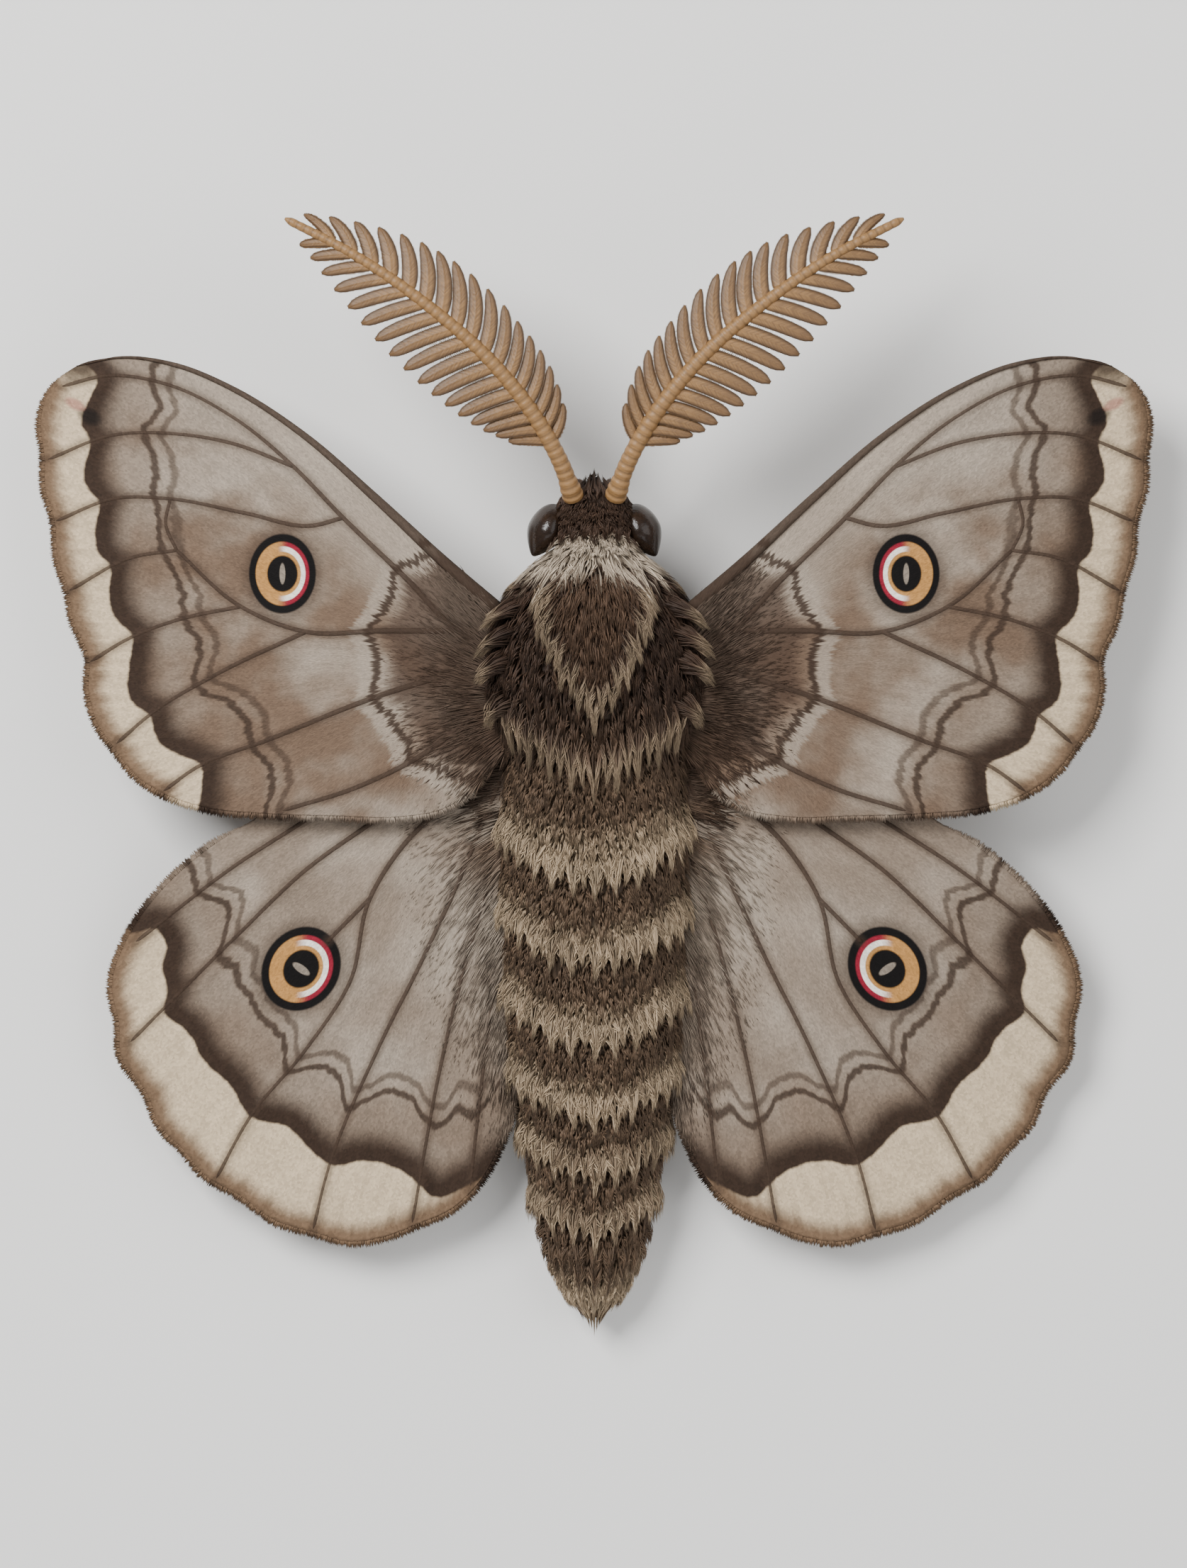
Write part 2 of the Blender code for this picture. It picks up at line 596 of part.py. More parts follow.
def head_locks(pieces):
    """Tufts on the crown and the face, each between two directions from the head's centre."""
    for k, (root, tip, lift, width) in enumerate(HEAD_LOCKS):
        for side in (-1, 1) if root[0] else (1,):
            start, end = mirrored((root, tip), side)
            ways = start + (end - start) * LOCK_STATIONS[:, None]
            ways /= np.linalg.norm(ways, axis=1)[:, None]
            offsets = np.interp(LOCK_STATIONS, (0.0, LOCK_STATIONS[1], 1.0), (-LOCK_SINK, 0.45, lift))
            centres = HEAD_CENTRE + ways * HEAD_HALF + ways * offsets[:, None]
            lock(f"tuft {k} {side}", centres, ways, width, pieces)


def head(finish, collection):
    """The head: a ball with a flat neck, a flat seat for each eye and a socket for each antenna."""
    shape = ball(HEAD_HALF, HEAD_CENTRE)
    cut_flat(shape, (0.0, NECK_Y + GAP, 0.0), (0.0, -1.0, 0.0))
    for side in (-1, 1):
        cut_flat(shape, *eye_frame(side))
    body = new_object("head", finish_mesh("head", shape), collection, finish)
    pieces = bpy.data.collections.new("head pieces")
    for side in (-1, 1):
        base, end, after = mirrored((SOCKET, *line_through(ANTENNA, 4.0)[:2]), side)
        along = (after - end) / np.linalg.norm(after - end)
        stub = tube_mesh(f"socket {side}", (base, end - 1.4 * along, end - GAP * along), (1.5, 1.2))
        new_object(f"socket {side}", stub, pieces)
    head_locks(pieces)
    fused(body, pieces)
    shade(body.data)


def eye(side, name, finish, collection):
    """A domed eye with a flat back that faces its seat on the head."""
    seat, normal = eye_frame(side)
    turn = normal.to_track_quat("X", "Z").to_matrix().to_4x4()
    shape = ball(EYE_HALF, seat + normal * GAP, turn, segments=16, rings=12)
    cut_flat(shape, seat + normal * GAP, -normal)
    new_object(name, finish_mesh(name, shape), collection, finish)


def palp(side, name, finish, collection):
    """A short feeler under the face that points forwards and down."""
    mesh = tube_mesh(name, mirrored(PALP, side), PALP_RADII)
    shade(mesh)
    new_object(name, mesh, collection, finish)


def leg(side, label, points, finish, collection):
    """Thigh, shin and foot of one leg, each its own piece, bent at the knee and the ankle."""
    coxa, hip, knee, ankle, toe = mirrored(points, side)

    def towards(a, b):
        return (b - a) / np.linalg.norm(b - a)

    along_coxa, along_shin = towards(coxa, hip), towards(knee, ankle)
    bend = hip + 1.5 * JOINT_REACH * along_coxa
    along_thigh = towards(bend, knee)
    thigh = (hip + GAP * along_coxa, bend, knee - (JOINT_REACH + GAP) * along_thigh)
    shin = (knee - JOINT_REACH * along_thigh, knee, ankle - (JOINT_REACH + GAP) * along_shin)
    foot = (ankle - JOINT_REACH * along_shin, ankle, toe)
    pieces = {"thigh": (thigh, THIGH_RADII), "shin": (shin, SHIN_RADII), "foot": (foot, FOOT_RADII)}
    for part, (line, radii) in pieces.items():
        name = f"{label}_{part}"
        mesh = tube_mesh(name, line, radii)
        for vertex in mesh.vertices:
            vertex.co.z = max(vertex.co.z, 0.0)
        shade(mesh)
        new_object(name, mesh, collection, finish)


def inside(outline, points):
    """Which points lie inside the closed outline, by counting the edges crossed on the way out."""
    x, y = points[:, 0][:, None], points[:, 1][:, None]
    start, end = outline, np.roll(outline, -1, axis=0)
    spans = (start[:, 1] > y) != (end[:, 1] > y)
    rise = np.where(end[:, 1] == start[:, 1], 1.0, end[:, 1] - start[:, 1])
    crossing = start[:, 0] + (y - start[:, 1]) * (end[:, 0] - start[:, 0]) / rise
    return (spans & (x < crossing)).sum(axis=1) % 2 == 1


def nearest(points, others):
    """Distance from each point to the nearest of the others."""
    if not len(others) or not len(points):
        return np.full(len(points), np.inf)
    return np.linalg.norm(points[:, None, :] - np.asarray(others)[None, :, :], axis=2).min(axis=1)


def root_line(span, height):
    """The wing's root: a line that keeps the gap to the side of the body, from back to front."""
    rows = np.linspace(*span, max(3, round((span[1] - span[0]) / 3.0) + 1))
    level = height(np.full_like(rows, 12.5), rows)
    return np.stack([body_half_width_at(rows, level) + ROOT_CLEARANCE, rows], axis=1)


def sideways(line, distance):
    """The points of a line moved to its left by a distance."""
    heading = np.gradient(line, axis=0)
    across = np.stack([-heading[:, 1], heading[:, 0]], axis=1)
    return line + across * distance / np.linalg.norm(across, axis=1)[:, None]


def vein_points(veins, first):
    """Points of the veins, numbered from first, their edges and their thickness shares.

    Veins that fork share a point, and a vein thins at its end.
    """
    places, edges, shares = {}, [], []
    for vein in veins:
        keys = [tuple(np.round(place, 2)) for place in line_through(vein, VEIN_STEP)]
        for key in keys:
            if key not in places:
                places[key] = first + len(places)
                shares.append(1.0 if key != keys[-1] else 0.7)
        edges.extend((places[a], places[b]) for a, b in zip(keys[:-1], keys[1:]))
    return list(places), edges, shares


def foot_points(outline, rim, edge_count, margin, veins):
    """Points beside each vein and behind the thick front edge, where the membrane is thin again."""
    lines = [line_through(vein, VEIN_STEP) for vein in veins]
    feet = [sideways(line, reach) for line in lines for reach in (VEIN_FOOT, -VEIN_FOOT)]
    thick = chord_lengths(rim) < chord_lengths(margin)[edge_count]
    feet.append(sideways(rim, -COSTA_WIDTH)[1:-1][thick[1:-1]])
    feet = np.concatenate(feet)
    dense = np.concatenate([line_through(vein, VEIN_FOOT) for vein in veins])
    feet = feet[inside(outline, feet) & (nearest(feet, outline) > RIM_CLEARANCE)]
    feet = feet[nearest(feet, dense) > 0.92 * VEIN_FOOT]
    kept = []
    for place in feet:
        if nearest(place[None], kept)[0] > FOOT_CLEARANCE:
            kept.append(place)
    return np.array(kept), thick


def membrane_points(outline, others):
    """Points of an even grid inside the outline that keep clear of the other points."""
    low, high = outline.min(axis=0), outline.max(axis=0)
    lines = [np.arange(start, end, MEMBRANE_STEP) for start, end in zip(low, high)]
    grid = np.stack(np.meshgrid(*lines), axis=-1).reshape(-1, 2)
    grid = grid[inside(outline, grid)]
    return grid[nearest(grid, others) > MEMBRANE_CLEARANCE]


def wing(name, side, margin, root_span, veins, edge_count, height, finish, collection):
    """A wing as one sheet of triangles, thick along the front edge and the veins and thin between them."""
    rim = line_through(margin, RIM_STEP)
    outline = np.concatenate([rim, root_line(root_span, height)])
    edges = [(k, (k + 1) % len(outline)) for k in range(len(outline))]
    ridge, ridge_edges, ridge_shares = vein_points(veins, len(outline))
    feet, thick = foot_points(outline, rim, edge_count, margin, veins)
    solid = np.concatenate([outline, ridge, feet])
    points = np.concatenate([solid, membrane_points(outline, solid)])
    shares = np.zeros(len(points))
    shares[: len(rim)] = thick
    shares[len(outline) : len(outline) + len(ridge)] = ridge_shares
    flat = [Vector(place) for place in points]
    places, _, faces, sources, _, _ = delaunay_2d_cdt(flat, edges + ridge_edges, [], 1, 1e-4)
    x, y = np.array(places).T
    mesh = bpy.data.meshes.new(name)
    turned = [face if side > 0 else face[::-1] for face in faces]
    mesh.from_pydata(np.column_stack([side * x, y, height(x, y)]) * MM, [], turned)
    sheet = new_object(name, mesh, collection, finish)
    group = sheet.vertex_groups.new(name="veins")
    for vertex, found in enumerate(sources):
        group.add([vertex], max((shares[k] for k in found), default=0.0), "REPLACE")
    wall = sheet.modifiers.new("thickness", "SOLIDIFY")
    wall.thickness = VEIN * MM
    wall.offset = 0.0
    wall.vertex_group = "veins"
    wall.thickness_vertex_group = MEMBRANE / VEIN


def antenna(side, name, finish, collection):
    """The feathered antenna: a shaft with a row of branches on both sides."""
    shaft = np.array(mirrored(line_through(ANTENNA, 4.0), side))
    body = new_object(name, tube_mesh(name, shaft, SHAFT_RADII), collection, finish)
    pieces = bpy.data.collections.new(f"{name} branches")
    lengths = chord_lengths(shaft)
    shares = np.linspace(0.0, 1.0, BRANCHES)
    places = np.interp(shares * (1.0 - BRANCH_CROWDING * (1.0 - shares)), (0.0, 1.0), BRANCH_SPAN)
    for k, along in enumerate(places):
        root, ahead = through(lengths, shaft, lengths[-1] * np.array([along, min(1.0, along + 0.01)]))
        forward = (ahead - root) / np.linalg.norm(ahead - root)
        for (reaches, angles, bend), turn in zip(BRANCH_ROWS, (side, -side)):
            reach = through(BRANCH_PLACES, reaches, along) * np.diff(LOCK_STATIONS, prepend=0.0)[:, None]
            turns = np.radians(through(BRANCH_PLACES, angles, along) + bend * (0.5 - LOCK_STATIONS))[:, None]
            outward = np.cross(forward, (0.0, 0.0, turn))
            steps = (outward * np.sin(turns) + forward * np.cos(turns)) * reach
            centres = root + np.cumsum(steps, axis=0)
            ups = np.tile((0.0, 0.0, 1.0), (len(centres), 1))
            lock(f"branch {k} {turn}", centres, ups, BRANCH_WIDTH, pieces)
    fused(body, pieces)
    shade(body.data)


def main():
    for obj in list(bpy.data.objects):
        bpy.data.objects.remove(obj, do_unlink=True)
    moth = bpy.data.collections.new("great peacock moth")
    bpy.context.scene.collection.children.link(moth)
    fur = material("thorax fur", (0.20, 0.13, 0.09), 0.85)
    rings = material("abdomen fur", (0.36, 0.29, 0.22), 0.85)
    scales = material("wing scales", (0.42, 0.34, 0.27), 0.8)
    horn = material("antenna horn", (0.45, 0.31, 0.16), 0.6)
    glossy = material("eye", (0.02, 0.015, 0.012), 0.15)
    leg_fur = material("leg fur", (0.24, 0.15, 0.10), 0.8)
    thorax(fur, moth)
    head(fur, moth)
    for number in range(1, len(RING_STARTS)):
        abdomen_ring(number, rings, moth)
    for side, word in ((-1, "left"), (1, "right")):
        eye(side, f"eye_{word}", glossy, moth)
        palp(side, f"palp_{word}", fur, moth)
        antenna(side, f"antenna_{word}", horn, moth)
        fore = (FORE_MARGIN, FORE_ROOT, FORE_VEINS, FORE_EDGE, fore_height)
        hind = (HIND_MARGIN, HIND_ROOT, HIND_VEINS, HIND_EDGE, hind_height)
        wing(f"forewing_{word}", side, *fore, scales, moth)
        wing(f"hindwing_{word}", side, *hind, scales, moth)
        for label, points in LEGS.items():
            leg(side, f"leg_{label}_{word}", points, leg_fur, moth)


main()
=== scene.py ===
"""The looks of a life-size great peacock moth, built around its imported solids.

Lengths are in millimetres, and MM turns them into metres where a mesh is made. The head looks along +Y, +X
is the moth's right side and the feet stand on Z = 0. A shape is a grid of two parameters or a profile along
a path.
"""

from math import cos, pi, radians, sin

import bpy
import numpy as np
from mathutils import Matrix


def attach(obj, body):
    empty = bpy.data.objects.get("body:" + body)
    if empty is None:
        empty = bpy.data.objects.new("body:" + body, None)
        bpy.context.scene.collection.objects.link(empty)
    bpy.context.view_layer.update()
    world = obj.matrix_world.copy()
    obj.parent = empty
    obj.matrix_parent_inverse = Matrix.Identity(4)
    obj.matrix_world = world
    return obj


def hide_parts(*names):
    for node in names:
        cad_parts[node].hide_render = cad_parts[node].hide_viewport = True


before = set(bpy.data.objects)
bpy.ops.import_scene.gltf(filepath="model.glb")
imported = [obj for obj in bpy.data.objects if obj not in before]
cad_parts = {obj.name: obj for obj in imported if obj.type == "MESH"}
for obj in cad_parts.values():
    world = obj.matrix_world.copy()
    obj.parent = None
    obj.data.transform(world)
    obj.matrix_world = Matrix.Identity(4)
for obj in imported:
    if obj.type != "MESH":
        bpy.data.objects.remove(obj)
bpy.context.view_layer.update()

bl_info = {
    "name": "Great Peacock Moth",
    "version": (1, 0, 0),
    "blender": (4, 5, 0),
    "location": "3D View > Sidebar > Moth",
    "description": "Builds the skin, fur, scales and feelers of a life-size great peacock moth",
    "category": "Add Mesh",
}

MM = 0.001
SIDES = ((-1, "left"), (1, "right"))

# The body from the tip of the abdomen to the face: (y, half width, half height, height of the belly).
BODY_STATIONS = (
    (-69.2, 0.7, 0.7, 4.4), (-67.0, 2.4, 2.2, 3.2), (-63.0, 4.6, 4.0, 1.7), (-58.0, 6.3, 5.4, 0.5),
    (-52.0, 7.6, 6.5, -0.25), (-44.0, 9.1, 7.8, -0.25), (-36.0, 10.4, 8.8, 0.4), (-26.0, 11.0, 9.3, 1.4),
    (-12.0, 11.4, 9.8, 3.0), (-2.0, 11.2, 9.8, 4.2), (2.5, 11.0, 9.8, 4.7), (8.0, 12.5, 10.6, 4.8),
    (14.0, 13.1, 10.8, 4.9), (20.0, 11.8, 10.1, 5.9), (25.0, 8.8, 8.0, 8.0), (27.6, 6.4, 6.0, 9.7),
    (29.2, 5.3, 5.2, 10.4), (31.0, 5.3, 5.4, 10.0), (32.6, 5.1, 5.5, 9.9), (34.4, 4.4, 5.0, 10.5),
    (36.0, 2.8, 3.7, 11.8), (37.0, 1.0, 1.9, 13.6),
)
BODY_TIP = (0.0, -69.6, 5.1)
FACE_TIP = (0.0, 37.25, 15.2)
WAIST_Y = 2.5
NECK_Y = 29.2
# Where the fur on top of the head parts, forwards and backwards.
CROWN_Y = 35.4
# Grid of the body's skin.
BODY_ROWS = 300
BODY_COLUMNS = 96

# Where each ring of the abdomen starts on the back, from the waist to the tip, and how its edge bows forward
# on the flanks by a share of the half width, which sets in over the first stretch behind the waist.
RING_STARTS = (2.5, -12.4, -22.6, -32.8, -42.2, -49.8, -57.1, -67.4)
RING_BOW = 0.5
RING_BOW_STRETCH = 8.0
RING_GROOVE = 0.55
RING_GROOVE_WIDTH = 0.9

# Edge of the mantle over the abdomen: its tips as (angle from the top in degrees, y).
MANTLE_TIPS = ((0.0, -3.8), (13.0, -2.6), (26.0, -1.2), (40.0, 0.4), (54.0, 2.0))
MANTLE_LENGTH = 9.2
# Tufts over the wing roots: where each starts, its tip's x and y, and its angle from the top, and by how many
# degrees they start nearer to the top.
FLANK_TIPS = (
    (26.8, 9.4, 24.6, 84.0), (25.6, 11.7, 22.6, 84.0), (22.8, 14.5, 18.0, 67.0), (19.6, 15.2, 14.3, 67.0),
    (16.2, 15.1, 10.9, 67.0), (10.8, 13.6, 5.4, 67.0),
)
FLANK_LEAN = 14.0
# Edge of the shield on the thorax as (y, half width), and of the fur over the nape as (angle, y).
SHIELD_EDGE = ((4.7, 0.0), (7.4, 2.1), (10.1, 4.2), (13.3, 5.8), (16.3, 7.3), (19.8, 8.1), (23.9, 6.2))
NAPE_TIPS = ((0.0, 28.6), (14.0, 29.3), (28.0, 28.9), (44.0, 28.3), (60.0, 27.6))
# Tufts on the face: angle from the top, y of the tip and height over the skin.
HEAD_TUFTS = ((0.0, 38.6, 0.6), (18.0, 38.2, 0.6), (42.0, 37.9, 0.6), (72.0, 37.1, 0.6))
# Distance between the teeth of a ring's fringe.
FRINGE_TOOTH = 2.45
# Rows of a fringe as (offset in teeth, reach past the edge, lift, hairs in a lock).
FRINGE_ROWS = ((0.0, 3.3, 0.3, 52), (0.5, 1.9, 0.1, 44))
# Pieces of the abdomen's coat as (name, number of its random draws, from, to), and the end of the last ring.
ABDOMEN_COATS = (("abdomen_coat_rear", 17, -67.0, -30.0), ("abdomen_coat_front", 18, -30.0, WAIST_Y + 1.0))
ABDOMEN_END = -69.4
# Rows of locks round the abdomen's tip as (y, length, number), the teeth on its sides, and its end locks.
TAIL_ROWS = ((-58.2, 5.6, 15), (-60.8, 5.4, 13), (-63.2, 5.2, 11))
TAIL_TEETH = (-55.6, -57.9, -60.1, -62.2, -64.0)
TAIL_TEETH_TURN = 1.35
TAIL_ENDS = 9
# Angle from the top past which the belly lies flat on the floor, without fur.
BELLY_TURN = 2.65

# Right eye: its centre, the way that it faces, and its half axes out of the head, along it and upright.
EYE_SEAT = (6.15, 30.9, 16.0)
EYE_NORMAL = (0.86, 0.42, 0.28)
EYE_HALF = (2.2, 3.6, 3.1)
# Its grid, and how much it narrows towards the back.
EYE_GRID = (34, 48)
EYE_TAPER = 0.5
# The patch of bare skin round it: the angle of its middle, half its width and its front.
EYE_PATCH = (radians(85.0), radians(34.0), 34.0)

# Heights of the wings' middle surfaces over the floor.
FORE_ROOT_Z = 18.2
HIND_ROOT_Z = 15.5
# Where the wings leave the body's flank.
FLANK_X = 12.5

# Margin of the right forewing from the front of its root, round the tip, to the back of its root. Its first
# points are the thick front edge, and the outer edge runs between the two places that TERMEN names. ROOT holds
# the y of the root's back and front, the markings are measured from the HUB, and BORDER is the pale rim's
# width.
FORE_EDGE = 7
FORE_MARGIN = (
    (12.1, 20.9), (18.8, 26.8), (27.7, 35.1), (36.6, 42.9), (45.5, 48.7), (52.6, 51.7),
    (59.8, 52.8), (65.4, 51.8), (68.7, 49.0), (70.0, 45.0), (69.5, 40.2), (69.5, 36.8),
    (68.2, 32.2), (67.9, 28.0), (66.5, 23.4), (65.8, 19.6), (63.8, 15.0), (63.9, 10.7),
    (62.7, 6.6), (60.6, 3.6), (58.0, 0.3), (54.6, -2.0), (49.1, -3.9), (41.1, -4.7),
    (32.2, -5.0), (24.4, -5.1), (18.8, -4.0), (14.6, -0.8), (12.6, 3.2),
)
FORE_ROOT = (4.2, 19.8)
FORE_HUB = (11.0, 15.0)
FORE_TERMEN = (8, 21)
FORE_BORDER = 5.4
RADIAL_FORK = (37.7, 38.8)
CELL_FRONT = (31.5, 32.4)
CELL_CROSS = (53.3, 34.9)
CELL_END = (52.5, 28.4)
MEDIAN_FORK = (44.4, 21.3)
CUBITAL_FORK = (36.2, 18.1)
CELL_BASE = (17.2, 18.2)
FORE_VEINS = (
    ((12.4, 15.2), CELL_BASE, (23.3, 24.5), CELL_FRONT, RADIAL_FORK, (45.5, 45.2), (53.5, 49.2),
     (61.3, 50.5), (67.4, 49.2)),
    (RADIAL_FORK, (45.5, 41.8), (53.0, 43.1), (60.7, 43.0), (69.2, 40.0)),
    (CELL_FRONT, (35.3, 31.4), (43.7, 33.0), CELL_CROSS, (60.5, 35.0), (68.2, 32.2)),
    (CELL_CROSS, (53.9, 31.8), CELL_END),
    (CELL_BASE, (26.8, 18.2), CUBITAL_FORK, MEDIAN_FORK, CELL_END),
    (CELL_END, (58.0, 27.6), (66.5, 23.4)),
    (MEDIAN_FORK, (52.6, 19.6), (58.9, 17.2), (63.7, 14.4)),
    (CUBITAL_FORK, (47.3, 12.9), (55.3, 8.2), (60.4, 4.0)),
    ((12.8, 14.4), (27.7, 9.8), (41.1, 4.5), (50.0, 1.1), (54.4, -2.0)),
    ((12.6, 10.4), (20.6, 3.3), (29.5, -1.3), (39.4, -4.4)),
)
# An eyespot's centre, its half axes and its turn in degrees.
FORE_SPOT = ((39.15, 25.4), (4.1, 4.85), 0.0)

# Margin of the right hindwing from the front of its root, under the forewing, round to the abdomen.
HIND_EDGE = 3
HIND_MARGIN = (
    (15.6, 10.2), (22.5, 6.6), (31.6, 1.0), (42.9, -5.4), (50.0, -10.1), (55.3, -15.0),
    (59.3, -20.6), (61.4, -27.1), (60.5, -31.6), (60.3, -35.6), (57.0, -40.4), (55.3, -44.6),
    (52.2, -47.8), (49.9, -50.6), (45.1, -53.4), (40.4, -56.7), (35.8, -58.0), (31.3, -59.2),
    (26.8, -58.6), (22.6, -57.0), (17.9, -54.8), (14.4, -51.2), (11.3, -44.9), (9.6, -39.6),
)
HIND_ROOT = (-38.0, 10.0)
HIND_HUB = (10.0, 8.0)
HIND_TERMEN = (5, 21)
HIND_FORK = (28.3, -15.4)
HIND_VEINS = (
    ((14.0, 8.0), (26.8, 0.8), (35.7, -5.1), (45.5, -11.4), (58.4, -21.2)),
    ((13.0, 5.0), (26.8, -5.0), (36.6, -12.0), (45.5, -20.5), (59.2, -34.0)),
    ((12.0, 2.4), (19.7, -4.3), (24.2, -8.9), HIND_FORK, (30.8, -25.8), (36.6, -34.7), (43.7, -43.3),
     (48.2, -51.4)),
    (HIND_FORK, (33.8, -21.0)),
    ((12.0, -0.6), (16.6, -12.0), (21.5, -22.7), (27.7, -35.2), (33.6, -49.4), (35.8, -57.8)),
    ((12.0, -9.4), (15.9, -22.2), (19.3, -36.0), (23.2, -57.0)),
    ((11.6, -20.4), (13.7, -34.3), (15.8, -52.6)),
)
# The wavy line that the pale border starts at, carried on past both edges, and the corners that close it.
HIND_WAVE = (
    (64.0, -20.0), (58.0, -19.9), (55.8, -19.3), (54.3, -21.6), (55.0, -24.4), (54.3, -26.7), (54.7, -30.0),
    (51.6, -32.7), (49.7, -36.2), (46.4, -39.2), (43.7, -43.3), (38.8, -44.8), (36.2, -47.4), (33.6, -49.4),
    (28.6, -48.9), (24.6, -50.1), (22.7, -51.6), (20.4, -53.5), (15.3, -51.6), (9.0, -47.0),
)
HIND_WAVE_CORNERS = ((-10.0, -47.0), (-10.0, 40.0), (64.0, 40.0))
HIND_SPOT = ((37.1, -24.4), (5.45, 4.65), 55.0)

# Grid of a wing: lines from the root to the margin, and steps along each.
WING_LINES = 224
WING_STEPS = 78
# How far the membrane sags between the veins and how wide the rise to a vein is, its thickness at the edge, and
# the length over which a vein thins at its end.
WING_SAG = 0.32
WING_SAG_WIDTH = 1.7
EDGE_THICKNESS = 0.16
VEIN_TAPER = 1.5
# Distance from a wing's hub at which the way around it is measured for the markings.
TURN_RADIUS = 40.0
# How far out from a wing's root hair grows, the number of its hairs, and the number of scales in a fringe.
WING_HAIR_REACH = 17.0
WING_HAIRS = 3100
FRINGE_SCALES = 2600

# Right antenna: its shaft from the socket to the tip, and its branches by their place along it.
ANTENNA = (
    (2.6, 34.9, 19.6), (3.0, 36.0, 20.6), (3.8, 38.2, 21.8), (6.6, 43.5, 23.8), (12.1, 50.7, 25.6),
    (20.6, 58.3, 26.6), (30.4, 65.0, 26.6), (38.4, 69.2, 26.0),
)
# Radius of the socket's bulb, and of the shaft at its start and near its tip.
BULB_RADIUS = 1.3
SHAFT_RADII = (1.05, 0.5)
# Length of a segment of the shaft, and how much thicker it is in its middle.
SEGMENT = 1.05
SEGMENT_BULGE = 0.07
# The outer and the inner row of branches: their lengths and their angles to the shaft at places along it, how
# far each branch turns towards the shaft from its root to its end, and its width there in steps.
BRANCH_PLACES = (0.15, 0.22, 0.35, 0.5, 0.65, 0.76, 0.88)
BRANCH_ROWS = (
    ((5.0, 6.5, 8.4, 8.9, 7.85, 6.4, 4.0), (58.0, 70.0, 73.0, 64.0, 53.0, 41.0, 30.0), -14.0,
     (0.8, 0.95, 1.0, 1.0, 0.92, 0.66, 0.2)),
    ((4.9, 6.6, 7.5, 8.5, 7.3, 6.1, 5.2), (45.0, 47.0, 49.0, 46.5, 46.0, 34.0, 13.0), 40.0,
     (0.8, 1.0, 1.0, 0.95, 0.76, 0.5, 0.14)),
)
BRANCH_STEPS = (0.0, 0.15, 0.35, 0.55, 0.78, 0.93, 1.0)
# The first and the last branch's place along the shaft, the number of branches in a row, and the share by which
# they are closer together at the start than evenly spaced ones.
BRANCH_SPAN = (0.16, 0.87)
BRANCHES = 17
BRANCH_CROWDING = 0.25
# Half the gap between two branches, the least and the greatest half width of one, and the number and the width
# of the fine hairs on each of its edges.
BRANCH_GAP = 0.08
BRANCH_HALF_WIDTHS = (0.45, 0.98)
CILIA = 36
CILIA_WIDTH = 0.13

# Right palp, from the face to its tip, and its radii at shares of the way.
PALP = ((1.7, 34.6, 12.8), (1.75, 35.85, 11.4), (1.85, 36.75, 10.2), (1.95, 37.35, 9.0))
PALP_RADII = ((0.0, 0.6, 1.0), (0.85, 0.8, 0.3))
PALP_HAIRS = 420

# Right legs: coxa, hip, knee, ankle and toe, with the feet on the floor.
LEGS = {
    "front": ((4.2, 18.5, 9.5), (6.3, 18.8, 6.2), (12.8, 18.6, 9.8), (19.6, 20.4, 0.75), (26.0, 22.4, 0.42)),
    "middle": ((4.6, 12.5, 9.0), (6.8, 12.3, 5.4), (14.2, 10.8, 10.4), (21.6, 8.6, 0.75), (28.6, 7.0, 0.42)),
    "hind": ((4.4, 7.0, 9.0), (6.6, 6.4, 5.4), (13.4, 1.2, 9.8), (18.8, -6.8, 0.75), (23.6, -12.6, 0.42)),
}
LEG_RADII = (1.7, 1.35, 1.05, 0.62, 0.34)
TARSUS_JOINTS = 5
CLAW_RADIUS = 0.13
# Room between two legs on their map; then hair of the thigh, the shin and the foot: number, length, height over
# the skin and width over the long fur's.
LEG_ROOM = 8.0
LEG_HAIRS = ((620, 2.4, 0.75, 0.8), (620, 2.1, 0.65, 0.8), (260, 0.8, 0.16, 0.55))

# Layers of fur, which the fur's material tells apart, and the marks of a bare skin: along, tone and layer. An
# along of 0 gives a bare skin the leg material's painted shade of a hair's root.
UNDER, COAT, SHIELD, EDGE = 0.0, 1.0, 2.0, 3.0
BARE = (0.0, 0.5, 0.0)

# A hair's sections: their place along it, the share of its width there and its thickness over its width.
LONG_HAIR = np.array([0.0, 0.34, 0.7, 1.0])
SHORT_HAIR = np.array([0.0, 0.5, 1.0])
HAIR_WIDTHS = (0.75, 1.0, 0.7)
HAIR_THICKNESS = 0.3
HAIR_PATCH = 0.003
# How far under the surface a hair starts, and the least height over the floor of anything soft.
UNDER_SKIN = 1.1
FLOOR_GAP = 0.1
GOLDEN_TURN = pi * (3 - 5**0.5)

# Lights: name, place and size in metres, and power in watts. The world's colour and strength fill the shadows.
LIGHTS = (
    ("key light", (-0.34, 0.30, 0.62), 0.36, 9.0),
    ("fill light", (0.45, 0.12, 0.50), 0.60, 2.2),
    ("back light", (0.05, -0.55, 0.40), 0.60, 1.6),
)
WORLD_COLOUR = (0.95, 0.97, 1.0, 1.0)
WORLD_STRENGTH = 0.36
# Half the floor's side, and its squares along a side.
FLOOR_HALF = 2400.0
FLOOR_CELLS = 12

# The camera in metres: its place over the moth, the height of the wings, the length that it frames there from
# the picture's top to its bottom, and how near and how far it sees. The lens and the sensor are in millimetres.
CAMERA_X, CAMERA_Y = -0.0001, -0.001
VIEW_Z = 0.0175
VIEW = 0.1969
CLIP = (0.01, 10.0)
LENS = 135.0
SENSOR = 36.0


# Curves and surfaces


